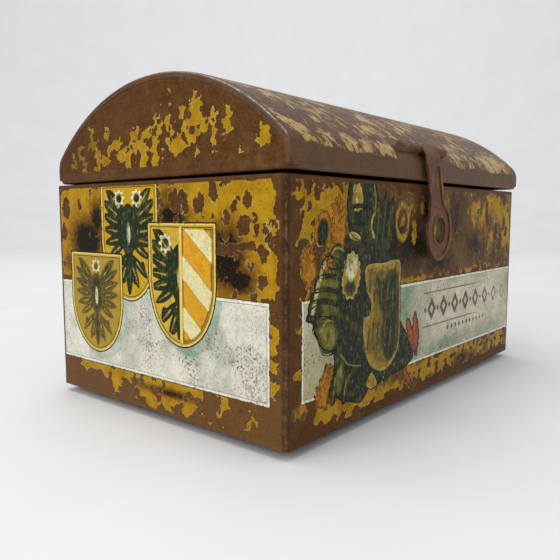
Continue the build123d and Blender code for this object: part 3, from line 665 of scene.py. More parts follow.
FRONT_SMOKE = (
    (-30, 50, 14, 13, 1), (-47, 30, 9, 18, 0.9), (-12, 48, 12, 9, 0.98), (6, 42, 14, 5, 0.8),
    (-4, 59, 8, 6, 0.6), (20, 56, 8, 9, 0.7), (38, 47, 12, 8, 0.65), (-56, 53, 5, 4, 0.6),
    (30, 5, 10, 2.6, 0.8), (60, 42, 12, 5, 0.6),
)
FRONT_TEAL = (
    (-17, 30, 9, 10, 1.2), (-12, 16, 10, 7, 1.2), (12, 12.4, 24, 3.6, 1), (50, 13, 22, 3.6, 0.7),
    (72, 30, 6, 10, 0.8), (30, 36, 34, 1.8, 0.5), (-57.6, 21, 5, 6, 1.3), (-64, 13, 4, 4, 0.5),
)


def front_ground(x, v):
    """What is left of the yellow and brown ground."""
    lower = either(slab(x, v, (-64, 3.2), (73, 8.8), 1) - 0.9, slab(x, v, (-30, 7.2), (73, 10.2)) + 0.3)
    upper = slab(x, v, (4, 36.4), (74, 66), 2) - 0.6 + 0.06 * (v - 50)
    return either(
        ragged(x, v, either(ellipses(x, v, FRONT_PATCHES), lower), 97, size=3.0, spots=FRONT_SPOTS),
        ragged(x, 0.7 * v, upper, 91, size=3.6, spots=scatter(93, 44, (36, 28), (74, 45), 0.4, 1.9)),
        ragged(x, v, outline(x, v, ROUND_FIGURE), 101, size=3.2),
    )


def front_figure(x, v):
    """Everything painted over the ground: the armour, the leaves, the blossoms and the scraps."""
    parts = armour_parts(x, v)
    plates = [outline(x, v, points) for points in ARM_PLATES]
    leaves = foliage(x, v)
    mantle = frond(x, v, [(-51.6, 49.6), (-53.6, 53.6), (-52.8, 57.6), (-55.2, 61.4)], 3.4, 0.3)
    crest = np.minimum(0.75 - np.abs(parts["curl"]), v - 50.6)
    blossoms, petals = red_blossoms(x, v)
    layers = {
        "armour": armour_dark(x, v, parts, plates),
        "gold": armour_gold(x, v, parts),
        "orange": either(*leaves, mantle, crest),
        "scraps": front_scraps(x, v),
        "accent": blossoms,
    }
    layers["figure"] = either(parts["roundel"], *layers.values())
    layers.update(
        plate=without(armour_lit(x, v, parts, plates), parts["held"]),
        shade=armour_shade(x, v, parts),
        sheen=shield_sheen(x, v, parts),
        glow=armour_glow(x, v, parts, plates),
        line=ink_lines(x, v, parts, plates, leaves),
        accent=without(blossoms, parts["held"] + 0.4),
        petal=without(petals, parts["held"] + 0.4),
    )
    return layers


def front_print(x, v):
    """The front: an empty suit of armour with a golden shield, beside a long pale banner."""
    layers = front_figure(x, v)
    banner = slab(x, v, (-23.5, 10.3), (74, 36.2))
    side_panel = slab(x, v, (-69, 10.6), (-54, 36.4))
    panel = either(banner, side_panel)
    haze = 1.04 - soft(x, v, FRONT_CLEAR) + 0.75 * rough(x, 0.85 * v, 4, 109)
    aged = np.clip(side_panel, 0, 1) * (0.64 - 0.02 * (v - 24)) + np.clip(banner, 0, 1) * 0.3
    layers.update(
        panel=panel,
        ornament=banner_ornament(x, v),
        smoke=np.clip(soft(x, v, FRONT_SMOKE) + 0.35 * rough(x, 0.6 * v, 6, 103), 0, 1),
        teal=soft(x, v, FRONT_TEAL),
        pitted=soft(x, v, ((2, 31, 10, 5, 0.45), (20, 14, 12, 4, 0.4), (-66, 24, 4, 9, 0.4))),
        haze=np.clip(haze, 0, 1),
        aged=aged,
        paint=either(
            front_ground(x, v),
            panel + 0.2 * rough(x, v, 2, 107),
            layers["figure"] + 0.3 + 0.5 * rough(x, v, 1.6, 111)),
    )
    return layers


# --- what is printed on the lid ---
LID_END_ISLANDS = (    # middle u and v, half across and up
    (67.5, 16.6, 1.9, 3), (62.4, 16, 1.2, 1.6), (67, 14, 3.2, 1.8), (66, 11, 2.8, 2.2),
    (73.6, 13.4, 1.2, 2), (74.4, 9.4, 0.6, 1.8), (78.8, 12.2, 1.4, 2.4), (91.4, 8.4, 1.8, 2.2),
    (60, 8.2, 3.4, 2.2), (57.6, 11.8, 1, 2.2), (56.6, 14.8, 0.7, 2.2), (57.2, 18.8, 0.5, 1.4),
    (47.4, 12.4, 1.8, 1.5), (52.4, 12.8, 1, 3), (41.8, 12.4, 1.3, 2.4), (43.4, 9.2, 3.8, 1.9),
    (38.6, 6, 2.2, 2.2), (45.6, 5.6, 1.4, 2.6), (51, 5.2, 2, 2), (32.6, 10, 2.6, 1.6),
    (35, 7, 1.6, 2.2), (20.2, 11.4, 2.4, 2), (22.8, 8, 1.4, 2.8), (26.6, 6, 1.6, 1.4),
    (19.6, 14.6, 0.9, 1.6), (13.4, 9.4, 0.9, 1.4), (15.8, 5.2, 0.8, 2), (10, 6.4, 0.8, 1.2),
    (22.6, 3.8, 0.8, 1.2), (27.4, 13.6, 1.2, 1), (83.6, 4.4, 0.5, 0.7), (68, 4.4, 0.4, 1.6),
    (44.6, 10.6, 1, 2.2), (50.2, 9.6, 0.8, 2.4), (37, 8.8, 2.2, 1), (48.4, 7.6, 2.6, 0.7),
    (29.4, 8.6, 1.2, 1.2), (63.2, 12.2, 1.2, 0.8), (70.4, 12.4, 1.6, 0.8),
)
LID_END_HOLES = ((66.2, 11.6, 1, 1.1), (47.8, 9.8, 1.2, 1.1), (40.6, 5.6, 1.2, 1.8), (57.4, 9.6, 0.5, 0.7))


def lid_end_print(u, v):
    """An end of the lid: torn islands of the print on bare brown tin."""
    cover = ellipses(u, v, LID_END_ISLANDS)
    torn = ragged(u, v, cover + 1, 113, size=1.8, spots=LID_END_HOLES)
    return {
        "paint": torn - 0.1,
        "smoke": soft(u, v, ((10, 10, 20, 13, 0.42), (63, 20, 9, 3, 0.2))),
    }


def barrel_print(u, v, seed=127):
    """Half of the barrel, v from its shoulder up to its crest: slanting hatches of worn print."""
    along, across = 0.35 * u - 0.94 * v, 0.94 * u + 0.35 * v
    low = np.minimum(v, 2 * HALF_ARC - v)
    band = low - 0.9 - 2.6 * np.maximum(ripple(u, 0 * u, 9, seed + 4), -0.1) - 0.04 * np.maximum(-u - 38, 0)
    hatch = 2.0 * ripple(along * 0.46, across, 1.9, seed) + 1.7 * ripple(along * 0.55, across, 0.9, seed + 1)
    clouds = 1.9 * ripple(u, 1.4 * v, 17, seed + 2) + 1.5 * ripple(along * 0.6, across, 5, seed + 3)
    near_end = soft(u, v, ((-52, 0.62 * HALF_ARC, 14, 9, 1), (-66, 0.9 * HALF_ARC, 9, 6, 1)))
    lower_row = soft(u, v, ((-24, 5, 22, 6, 1.6), (-50, 4.5, 14, 4.5, 1.7), (40, 6, 26, 6, 0.9)))
    return {
        "paint": np.minimum(hatch + clouds + 0.8 * near_end + 0.9 * lower_row - 0.35, band),
        "smoke": np.clip(0.15 + 0.7 * rough(u, v, 6, seed + 5), 0, 0.6),
        "faded": np.clip(0.9 + 0.4 * rough(u, v, 12, seed + 6) - 0.8 * near_end, 0, 1),
        # painted reflection: the print greyed towards the crest as a painted sheen
        "sheen_worn": np.clip((low - 0.62 * HALF_ARC) / 14, 0, 0.7),
        "teal_patch": soft(u, v, ((4, HALF_ARC, 12, 9, 0.8),)),
    }


# --- meshes ---
def add_object(name, data):
    piece = bpy.data.objects.new(name, data)
    bpy.context.scene.collection.objects.link(piece)
    return piece


def closed_sheet(name, top, bottom, keep):
    """A closed mesh from two grids of points, and which of the points it uses."""
    count = top[..., 0].size
    ids = np.arange(count).reshape(top.shape[:2])
    i, j = np.nonzero(keep)
    quads = np.stack([ids[i, j], ids[i + 1, j], ids[i + 1, j + 1], ids[i, j + 1]], 1)
    open_edges = {}
    for a, b in zip(quads.ravel(), np.roll(quads, -1, 1).ravel()):
        if (b, a) in open_edges:
            del open_edges[b, a]
        else:
            open_edges[a, b] = True
    rim = [(b, a, a + count, b + count) for a, b in open_edges]
    faces = np.vstack([quads, quads[:, ::-1] + count, np.array(rim)])
    used, renumbered = np.unique(faces, return_inverse=True)
    points = np.vstack([top.reshape(-1, 3), bottom.reshape(-1, 3)])[used] * MM
    mesh = bpy.data.meshes.new(name)
    mesh.from_pydata(points.tolist(), [], renumbered.reshape(faces.shape).tolist())
    mesh.shade_smooth()
    return mesh, used


def no_hole(u, v):
    return np.full(u.shape, -np.inf)


def skin(name, body, low, high, place, layers, hole=no_hole, joined_above=False):
    """A thin closed sheet over one face. place(u, v, off) gives points in mm, `off` outwards."""
    grid = [np.linspace(a, b, round((b - a) / SKIN_STEP) + 1) for a, b in zip(low, high)]
    u, v = np.meshgrid(*grid, indexing="ij")
    fields = layers(u, v)
    cut = hole(u, v)
    border = np.minimum.reduce([u - u.min(), u.max() - u, v - v.min(), -cut])
    if not joined_above:
        border = np.minimum(border, v.max() - v)
    clear = cut < 0
    keep = clear[:-1, :-1] & clear[1:, 1:] & clear[1:, :-1] & clear[:-1, 1:]
    rise = np.clip(border / SKIN_TAPER, 0, 1)
    raised = np.clip(fields["paint"] / TORN_EDGE + 0.5, 0, 1)
    grain = 0.012 * ripple(u, v, 1.1, 7)
    off = -SKIN_SINK + rise * (SKIN_SINK + SKIN_PROUD + PRINT_PROUD * raised + grain)
    mesh, used = closed_sheet(name, place(u, v, off), place(u, v, np.full(u.shape, -SKIN_BACK)), keep)
    for key, values in fields.items():
        both = np.concatenate([values.ravel(), values.ravel()])[used]
        mesh.attributes.new(key, "FLOAT", "POINT").data.foreach_set("value", both.astype(np.float32))
    mesh.materials.append(printed_tin(name, fields))
    piece = add_object(name, mesh)
    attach(piece, body)


def front_place(x, v, off):
    """The front wall, with its low dome behind the hasp's eye."""
    sphere = (PIP_RADIUS**2 + PIP_HEIGHT**2) / (2 * PIP_HEIGHT)
    reach = np.hypot(x - PIP_X, v - PIP_V)
    dome = np.sqrt(np.maximum(sphere**2 - reach**2, 0)) - (sphere - PIP_HEIGHT)
    return np.stack([x, -DEPTH / 2 - off - np.maximum(dome, 0), v + FOOT], -1)


def left_place(u, v, off):
    return np.stack([-LENGTH / 2 - off, DEPTH / 2 - u, v + FOOT], -1)


def right_place(u, v, off):
    return np.stack([LENGTH / 2 + off, u - DEPTH / 2, v + FOOT], -1)


def back_place(u, v, off):
    return np.stack([LENGTH / 2 - u, DEPTH / 2 + off, v + FOOT], -1)


def on_lid(x, y, z):
    """From the lid's own upright frame to where the closed lid lies."""
    dy, dz = y + LID_SHIFT - HINGE_Y, z + LID_BOTTOM - HINGE_Z
    cos, sin = math.cos(LID_TILT), math.sin(LID_TILT)
    return np.stack([x, HINGE_Y + dy * cos + dz * sin, HINGE_Z - dy * sin + dz * cos], -1)


def left_end_place(u, v, off):
    return on_lid(-LENGTH / 2 + PANEL_STEP - off, LID_HALF_DEPTH - u, v)


def right_end_place(u, v, off):
    return on_lid(LENGTH / 2 - PANEL_STEP + off, u - LID_HALF_DEPTH, v)


def outside_end_panel(u, v):
    """Positive beyond the arch of an end panel."""
    y = u - LID_HALF_DEPTH
    inset = CRIMP_WIDTH + 0.3
    arch = CROWN_RADIUS - inset - np.hypot(y, v - CROWN_RISE)
    across, up = np.abs(y) - SHOULDER_Y, v - SHOULDER_Z
    shoulder = SHOULDER_RADIUS - inset - np.hypot(across, up)
    round_shoulder = (up > 0) & (np.arctan2(across, up) > CROWN_SWEEP)
    return -np.where(round_shoulder, shoulder, np.minimum(arch, LID_HALF_DEPTH - inset - np.abs(y)))


def barrel_place(x, arc, off):
    """arc runs from the front shoulder over the crest to the back one."""
    side, reach = np.sign(arc - HALF_ARC), np.abs(arc - HALF_ARC)
    past = np.maximum(reach - CROWN_ARC, 0)
    angle = np.minimum(reach, CROWN_ARC) / CROWN_RADIUS + past / SHOULDER_RADIUS
    on_crown = past == 0
    radius = np.where(on_crown, CROWN_RADIUS, SHOULDER_RADIUS) + off
    y = np.where(on_crown, 0, SHOULDER_Y) + radius * np.sin(angle)
    z = np.where(on_crown, CROWN_RISE, SHOULDER_Z) + radius * np.cos(angle)
    return on_lid(x, side * y, z)


def barrel_hole(x, arc):
    """Positive over the coin slot and under the hasp's bar."""
    slot_low = (-SLOT_HALF_LENGTH, HALF_ARC - SLOT_HALF_WIDTH)
    slot_high = (SLOT_HALF_LENGTH, HALF_ARC + SLOT_HALF_WIDTH)
    return either(slab(x, arc, slot_low, slot_high), slab(x, arc, HASP_LOW, HASP_HIGH))


def seam_hole(u, v):
    """Positive over the lock seam in the back."""
    return slab(u, v, (LENGTH / 2 - SEAM_HALF_WIDTH, -5), (LENGTH / 2 + SEAM_HALF_WIDTH, SEAM_TOP))


def from_behind(function):
    """The same function of the barrel, with its arguments counted from the back."""
    return lambda x, arc, *off: function(-x, 2 * HALF_ARC - arc, *off)


# --- materials; colours are (red, green, blue) from 0 to 255 ---
def srgb(red, green, blue):
    """A colour as a shader socket takes it."""
    linear = [c / 255 / 12.92 if c <= 10 else ((c / 255 + 0.055) / 1.055) ** 2.4 for c in (red, green, blue)]
    return (*linear, 1.0)


class Nodes:
    """One material's node tree, with a short call for each kind of node it uses."""

    def __init__(self, name):
        self.material = bpy.data.materials.new(name)
        self.material.use_nodes = True
        self.tree = self.material.node_tree
        self.tree.nodes.clear()
        place = self.add("ShaderNodeTexCoord").outputs["Object"]
        self.mm = self.vector("SCALE", {0: place, "Scale": 1 / MM})

    def add(self, kind, inputs=None, **settings):
        node = self.tree.nodes.new(kind)
        for key, value in settings.items():
            setattr(node, key, value)
        for key, value in (inputs or {}).items():
            if isinstance(value, bpy.types.NodeSocket):
                self.tree.links.new(value, node.inputs[key])
            else:
                node.inputs[key].default_value = value
        return node

    def attribute(self, name):
        return self.add("ShaderNodeAttribute", attribute_name=name).outputs["Fac"]

    def vector(self, operation, inputs, output=0):
        return self.add("ShaderNodeVectorMath", inputs, operation=operation).outputs[output]

    def stretched(self, height_scale):
        """The place in mm, with heights scaled so that a texture is drawn out upwards."""
        return self.vector("MULTIPLY", {0: self.mm, 1: (1.0, 1.0, height_scale)})

    def split(self):
        """The place in mm as its x, y and z."""
        return self.add("ShaderNodeSeparateXYZ", {0: self.mm}).outputs

    def noise(self, size, detail=4.0, roughness=0.6, at=None):
        """Noise from 0 to 1 with patches `size` mm across."""
        inputs = {"Vector": at or self.mm, "Scale": 1 / size, "Detail": detail, "Roughness": roughness}
        return self.add("ShaderNodeTexNoise", inputs).outputs["Fac"]

    def sway(self, amount, *noise):
        """Noise about zero."""
        return self.times(self.minus(self.noise(*noise), 0.5), amount)

    def math(self, operation, first, second=0.0):
        return self.add("ShaderNodeMath", {0: first, 1: second}, operation=operation).outputs[0]

    def plus(self, first, second):
        return self.math("ADD", first, second)

    def minus(self, first, second):
        return self.math("SUBTRACT", first, second)

    def times(self, first, *others):
        for other in others:
            first = self.math("MULTIPLY", first, other)
        return first

    def remap(self, value, low, high, to_low=0.0, to_high=1.0):
        inputs = {"Value": value, "From Min": low, "From Max": high, "To Min": to_low, "To Max": to_high}
        return self.add("ShaderNodeMapRange", inputs).outputs[0]

    def mix(self, factor, first, second, blend="MIX"):
        colours = [srgb(*value) if isinstance(value, tuple) else value for value in (first, second)]
        inputs = dict(zip((0, 6, 7), (factor, *colours)))
        return self.add("ShaderNodeMix", inputs, data_type="RGBA", blend_type=blend).outputs[2]

    def ramp(self, value, stops, crisp=False):
        """Colour and alpha along the stops, each (value, colour) or (value, colour, alpha)."""
        low, high = stops[0][0], stops[-1][0]
        node = self.add("ShaderNodeValToRGB", {"Fac": self.remap(value, low, high)})
        elements = node.color_ramp.elements
        node.color_ramp.interpolation = "CONSTANT" if crisp else "LINEAR"
        while len(elements) < len(stops):
            elements.new(0.5)
        for element, (position, colour, *alpha) in zip(elements, stops):
            element.position = (position - low) / (high - low)
            element.color = (*srgb(*colour)[:3], *(alpha or [1.0]))
        return node.outputs["Color"], node.outputs["Alpha"]

    def finish(self, colour, roughness, height, depth, shine):
        """A principled surface; height is turned to bumps `depth` mm deep."""
        bump = self.add("ShaderNodeBump", {"Height": height, "Distance": depth * MM, "Strength": 1.0})
        inputs = {"Base Color": colour, "Roughness": roughness, "Normal": bump.outputs[0]}
        surface = self.add("ShaderNodeBsdfPrincipled", inputs)
        surface.inputs["Specular IOR Level"].default_value = shine
        self.add("ShaderNodeOutputMaterial", {"Surface": surface.outputs[0]})
        return self.material


def bare_brown(n):
    """Rusted tin with no print left: its colour, roughness and height."""
    mottle = n.noise(3.2, 6, 0.68)
    grain = n.noise(0.45, 3, 0.7)
    broad = n.noise(26, 3, 0.5)
    colour, _ = n.ramp(mottle, [
        (0.30, (68, 42, 14)), (0.44, (86, 54, 20)), (0.56, (94, 61, 26)), (0.72, (112, 78, 42))])
    colour = n.mix(n.remap(broad, 0.42, 0.68, 0, 0.5), colour, (78, 44, 20))
    along, _, up = n.split()
    # the end walls coloured lighter towards their foot, below 50 mm
    at_end = n.remap(n.math("ABSOLUTE", along), LENGTH / 2 - 1.5, LENGTH / 2 - 0.5)
    colour = n.mix(n.times(n.remap(up, 50, 5, 0, 0.5), at_end), colour, (122, 88, 52))
    colour = n.mix(n.remap(grain, 0.58, 0.70, 0, 0.5), colour, (140, 108, 68))
    colour = n.mix(n.remap(grain, 0.42, 0.32, 0, 0.7), colour, (36, 22, 10))
    roughness = n.remap(mottle, 0.3, 0.7, 0.34, 0.60)
    return colour, roughness, n.plus(n.times(mottle, 0.7), n.times(grain, 0.3))


OUTSIDE = (-1.0, (0, 0, 0), 0)                   # nothing is printed outside an outline


def shield_stops(field):
    """An inked edge, a pale rim that darkens inwards, and the field."""
    return [OUTSIDE, (-0.45, (30, 30, 20)), (0.0, (228, 206, 124)), (0.4, (198, 160, 50)),
            (0.85, (92, 76, 24)), (1.15, field), (3.0, field)]


def fill_stops(colour, edge=None, width=0.35):
    """A thin edge colour, then the fill."""
    return [OUTSIDE, (0.0, edge or colour), (width, colour), (2.0, colour)]


def shaded_stops(*stops):
    """Darker or lighter bands further in from the edge."""
    return [OUTSIDE, *stops, (stops[-1][0] + 2.0, stops[-1][1])]


PRINT_LAYERS = {    # in the order they are printed, by distance in from an edge
    "panel": [OUTSIDE, (-0.3, (70, 62, 30)), (0.0, (232, 230, 214)), (0.7, (150, 150, 126)),
              (0.9, (226, 222, 204)), (3.0, (226, 222, 204))],
    "shield_0": shield_stops((200, 156, 24)),
    "shield_1": shield_stops((170, 142, 46)),
    "shield_2": shield_stops((204, 168, 52)),
    "pane": shaded_stops((0.0, (96, 64, 14)), (0.3, (186, 128, 30)), (0.7, (216, 156, 38))),
    "stripe": fill_stops((226, 216, 158), (170, 140, 70), 0.2),
    "olive": shaded_stops((0.0, (122, 100, 40)), (0.35, (94, 78, 34)), (0.9, (70, 62, 30))),
    "dark": shaded_stops((0.0, (40, 50, 18)), (0.3, (22, 42, 24)), (1.3, (20, 50, 28))),
    "vein": fill_stops((180, 150, 54)),
    "pale": fill_stops((226, 218, 178), (150, 140, 90), 0.2),
    "divider": fill_stops((232, 205, 120)),
    "ornament": fill_stops((104, 84, 76), (140, 122, 108), 0.15),
    "accent": shaded_stops((0.0, (64, 32, 20)), (0.35, (126, 52, 30)), (0.9, (170, 80, 46))),
    "petal": fill_stops((206, 130, 66), (190, 96, 48)),
    "armour": shaded_stops(
        (0.0, (14, 20, 15)), (0.4, (22, 33, 24)), (1.0, (31, 46, 35)), (2.0, (43, 56, 38)),
        (3.4, (28, 40, 31))),
    "plate": shaded_stops(
        (0.0, (44, 54, 22)), (0.4, (74, 82, 32)), (1.0, (106, 106, 42)), (1.8, (140, 132, 58))),
    "orange": shaded_stops((0.0, (130, 74, 16)), (0.35, (190, 126, 22)), (0.9, (218, 164, 44))),
    "scraps": shaded_stops((0.0, (132, 96, 26)), (0.3, (182, 140, 38))),
    "gold": shaded_stops(
        (0.0, (196, 180, 104)), (0.4, (184, 152, 56)), (1.2, (164, 132, 42)), (2.6, (138, 112, 38))),
    "shade": shaded_stops(
        (0.0, (82, 82, 38)), (0.6, (50, 58, 34)), (1.5, (36, 48, 32)), (3.0, (28, 42, 34))),
    "sheen": fill_stops((98, 96, 44)),
    "glow": shaded_stops((0.0, (150, 146, 66)), (0.25, (206, 198, 128)), (0.8, (226, 218, 164))),
    "line": fill_stops((17, 22, 18)),
}


def pale_panel(n, colour):
    """Clouds, teal shadows and age on the pale printed panels."""
    inside = n.remap(n.attribute("panel"), 0.7, 1.0)
    cloud = n.times(n.remap(n.noise(8, 4, 0.6), 0.44, 0.64), inside)
    colour = n.mix(n.times(cloud, 0.6), colour, (172, 176, 160))
    shade = n.times(n.attribute("teal"), inside, n.remap(n.noise(4, 4, 0.6), 0.3, 0.6, 0.6, 1.0))
    colour = n.mix(shade, colour, (96, 140, 122))
    return n.mix(n.times(n.attribute("aged"), inside), colour, (182, 170, 118))


def pits(n, colour):
    """Small rust pits, gathered in clusters."""
    inside = n.remap(n.attribute("panel"), 0.0, 0.6)
    cluster = n.remap(n.plus(n.attribute("pitted"), n.sway(1.6, 6, 4, 0.65)), 0.05, 0.55, 0.02, 1.0)
    speck = n.remap(n.noise(0.75, 4, 0.75), 0.55, 0.58)
    blot = n.times(n.remap(n.noise(2.6, 4, 0.75), 0.50, 0.64), 0.55)
    return n.mix(n.times(n.math("MAXIMUM", speck, blot), cluster, inside), colour, (86, 62, 40))


def hand_worked(n, colour):
    """Uneven light, shade and tint over the painted figure, with flecks of rust."""
    inside = n.remap(n.attribute("figure"), 0.0, 0.5)
    tint = n.noise(5, 4, 0.65)
    brushed = n.stretched(0.4)
    for texture, low, high, amount, shade in (
            (tint, 0.52, 0.62, 0.6, (84, 76, 36)), (tint, 0.46, 0.36, 0.55, (26, 50, 43)),
            (n.noise(1.5, 5, 0.72, at=brushed), 0.50, 0.36, 0.65, (18, 26, 20)),
            (n.noise(0.9, 5, 0.72, at=brushed), 0.54, 0.66, 0.55, (156, 144, 80)),
            (n.noise(1.1, 4, 0.7), 0.63, 0.67, 0.8, (96, 64, 34))):
        colour = n.mix(n.times(n.remap(texture, low, high, 0, amount), inside), colour, shade)
    return colour


def printed_ground(n, brush, wobble):
    """The yellow print, with what has faded, hazed over or gone dark."""
    colour, _ = n.ramp(brush, [(0.3, (150, 108, 8)), (0.5, (176, 134, 14)), (0.7, (186, 148, 26))])
    colour = n.mix(n.attribute("faded"), colour, (182, 154, 94))
    # painted reflection: a grey sheen painted over the print near the barrel's crest
    colour = n.mix(n.attribute("sheen_worn"), colour, (164, 152, 134))
    colour = n.mix(n.attribute("teal_patch"), colour, (120, 140, 126))
    smoke = n.plus(n.attribute("smoke"), n.times(wobble, 1.6))
    colour = n.mix(n.remap(smoke, 0.04, 0.34, 0, 0.6), colour, (150, 96, 12))
    haze = n.remap(n.plus(n.attribute("haze"), wobble), 0.32, 0.68, 0, 0.9)
    colour = n.mix(haze, colour, (90, 66, 38))
    return n.mix(n.remap(smoke, 0.16, 0.8), colour, (28, 18, 8))


def printed_motifs(n, colour, fields, wobble):
    """Every layer that a face has, one over the other."""
    unsteady = n.times(wobble, 0.5)
    for layer, stops in PRINT_LAYERS.items():
        if layer not in fields:
            continue
        shade, alpha = n.ramp(n.plus(n.attribute(layer), unsteady), stops, crisp=True)
        colour = n.mix(alpha, colour, shade)
        if layer == "panel":
            colour = pits(n, pale_panel(n, colour))
    return hand_worked(n, colour)


def printed_tin(name, fields):
    """The print in its layers, and bare brown tin wherever it has flaked off."""
    n = Nodes(name + "_print")
    on_barrel = "sheen_worn" in fields
    bare, bare_roughness, bare_height = bare_brown(n)
    wobble = n.sway(0.5, 1.3, 3, 0.6)
    brush = n.noise(5, 5, 0.65)
    colour = printed_motifs(n, printed_ground(n, brush, wobble), fields, wobble)
    tone = n.remap(n.noise(2.6, 5, 0.7), 0.3, 0.7, 0.82, 1.12)
    grey = n.add("ShaderNodeCombineColor", {0: tone, 1: tone, 2: tone}).outputs[0]
    colour = n.mix(1.0, colour, grey, "MULTIPLY")
    left = n.plus(n.attribute("paint"), n.sway(1.7, 1.1, 5, 0.7))
    edge = n.times(n.remap(left, 0.22, 0.10), n.remap(n.noise(3.0, 3, 0.6), 0.42, 0.60, 0.1, 0.75))
    colour = n.mix(edge, colour, (208, 184, 112))
    kept = n.remap(left, 0.0, 0.45 if on_barrel else 0.05)
    kept = n.times(kept, n.minus(1.0, n.remap(n.noise(0.6, 3, 0.65), 0.63, 0.66)))
    # bare tin darkened just outside the print's edge: a rust ring and a painted shadow of the edge
    bare = n.mix(n.remap(left, -0.5, -0.1, 0, 0.35), bare, (58, 38, 24))
    print_roughness = n.remap(brush, 0.3, 0.7, 0.30, 0.46)
    roughness = n.plus(n.times(kept, n.minus(print_roughness, bare_roughness)), bare_roughness)
    height = n.plus(n.times(kept, 0.9), n.times(bare_height, n.remap(kept, 0, 1, 1.0, 0.25)))
    return n.finish(n.mix(kept, bare, colour), roughness, height, 0.05, shine=0.35 if on_barrel else 0.07)


def worn_corners(n, colour):
    """Upright folds painted lighter along the middle, as rubbed wear and a painted highlight, with painted
    shade to either side.
    """
    x, y, _ = n.split()
    past_end = n.minus(LENGTH / 2, n.math("ABSOLUTE", x))
    past_front = n.minus(DEPTH / 2, n.math("ABSOLUTE", y))
    away = n.math("MAXIMUM", past_end, past_front)
    patchy = n.remap(n.noise(1.3, 5, 0.75), 0.46, 0.64, 0.0, 0.6)
    # painted shade: the fold's sides darkened where the crease lies in shade
    dirt = n.times(n.remap(away, 1.9, 1.3), n.remap(n.noise(3.0, 4, 0.7), 0.35, 0.6, 0.1, 0.7))
    colour = n.mix(dirt, colour, (44, 28, 16))
    # the fold's middle lightened: rubbed wear and a painted highlight
    return n.mix(n.times(n.remap(away, 0.75, 0.5), patchy), colour, (134, 106, 74))


def crimp_wear(n):
    """Where the barrel's crimped edges are rubbed bright, most of all in front."""
    x, y, z = n.split()
    _, crown_y, crown_z = on_lid(0.0, 0.0, CROWN_RISE)
    out = n.add("ShaderNodeCombineXYZ", {0: n.minus(y, crown_y), 1: n.minus(z, crown_z)}).outputs[0]
    radius = n.vector("LENGTH", {0: out}, "Value")
    end = n.remap(n.math("ABSOLUTE", x), LENGTH / 2 - 0.5, LENGTH / 2 - 0.3)
    rim = n.remap(radius, CROWN_RADIUS - 0.5, CROWN_RADIUS - 0.35)
    patchy = n.remap(n.noise(1.4, 5, 0.75), 0.42, 0.60, 0.1, 1.0)
    return n.times(end, rim, patchy, n.remap(y, 10.0, -10.0, 0.55, 1.0))


def rusty_sheet(name, shine=0.12, darker=0.0, folded=False, crimped=False):
    """CAD sheet metal that carries no print."""
    n = Nodes(name)
    colour, roughness, height = bare_brown(n)
    if folded:
        colour = worn_corners(n, colour)
    if darker:
        colour = n.mix(darker, colour, (48, 32, 22))
    if crimped:
        worn = crimp_wear(n)
        colour = n.mix(worn, colour, (168, 160, 146))
        roughness = n.minus(roughness, n.times(worn, 0.2))
    return n.finish(colour, roughness, height, 0.06, shine)


def rusty_fitting(name, dust=0.0):
    """Thick dark rust on the hasp and the hinges, rubbed brighter in places."""
    n = Nodes(name)
    mottle = n.noise(1.6, 6, 0.7)
    patch = n.noise(6, 4, 0.6)
    grain = n.noise(0.3, 3, 0.7)
    colour, _ = n.ramp(mottle, [
        (0.30, (52, 30, 14)), (0.45, (84, 54, 28)), (0.58, (106, 74, 42)), (0.74, (134, 100, 64))])
    colour = n.mix(n.remap(patch, 0.44, 0.62, 0, 0.65), colour, (98, 50, 20))
    colour = n.mix(n.remap(grain, 0.62, 0.74, 0, 0.4), colour, (146, 118, 86))
    if dust:
        streak = n.noise(1.8, 4, 0.6, at=n.stretched(0.35))
        colour = n.mix(n.remap(streak, 0.54, 0.70, 0, dust), colour, (142, 104, 52))
    roughness = n.remap(mottle, 0.3, 0.7, 0.38, 0.62)
    height = n.plus(n.times(mottle, 0.7), n.times(grain, 0.3))
    return n.finish(colour, roughness, height, 0.10, shine=0.25)


def floor_white():
    n = Nodes("floor_white")
    mottle = n.noise(60, 3, 0.5)
    colour, _ = n.ramp(mottle, [(0.3, (229, 229, 230)), (0.7, (233, 233, 234))])
    return n.finish(colour, n.remap(mottle, 0.3, 0.7, 0.7, 0.8), mottle, 0.02, shine=0.3)


# --- the scene, in metres ---
FLOOR_RADIUS, FLOOR_CURVE, FLOOR_WALL = 0.9, 0.5, 1.2
FLOOR_STEPS, FLOOR_TURNS = 12, 72
WORLD_COLOUR, WORLD_STRENGTH = (0.98, 0.99, 1.0, 1.0), 0.54
BOX_MIDDLE = (0, 0, 0.05)
LAMPS = (    # name, place, what it shines at, size, power
    ("soft_top", (-0.1, 0.15, 0.95), BOX_MIDDLE, 0.9, 4.6),
    ("soft_left", (-0.80, 0.10, 0.45), BOX_MIDDLE, 0.6, 2.6),
    ("soft_front", (0.25, -0.85, 0.60), BOX_MIDDLE, 0.6, 0.9),
    ("backdrop", (0.45, 0.38, 0.80), (1.1, 0.9, 0.35), 0.8, 2.2),
)
CAMERA_PLACE = (-0.1846, -0.13907, 0.05974)
CAMERA_TILT, CAMERA_TURN = 6.041, -50.148        # below the horizon, and round from +Y
CAMERA_LENS, CAMERA_SENSOR, CAMERA_NEAREST = 38.98, 36.0, 0.005


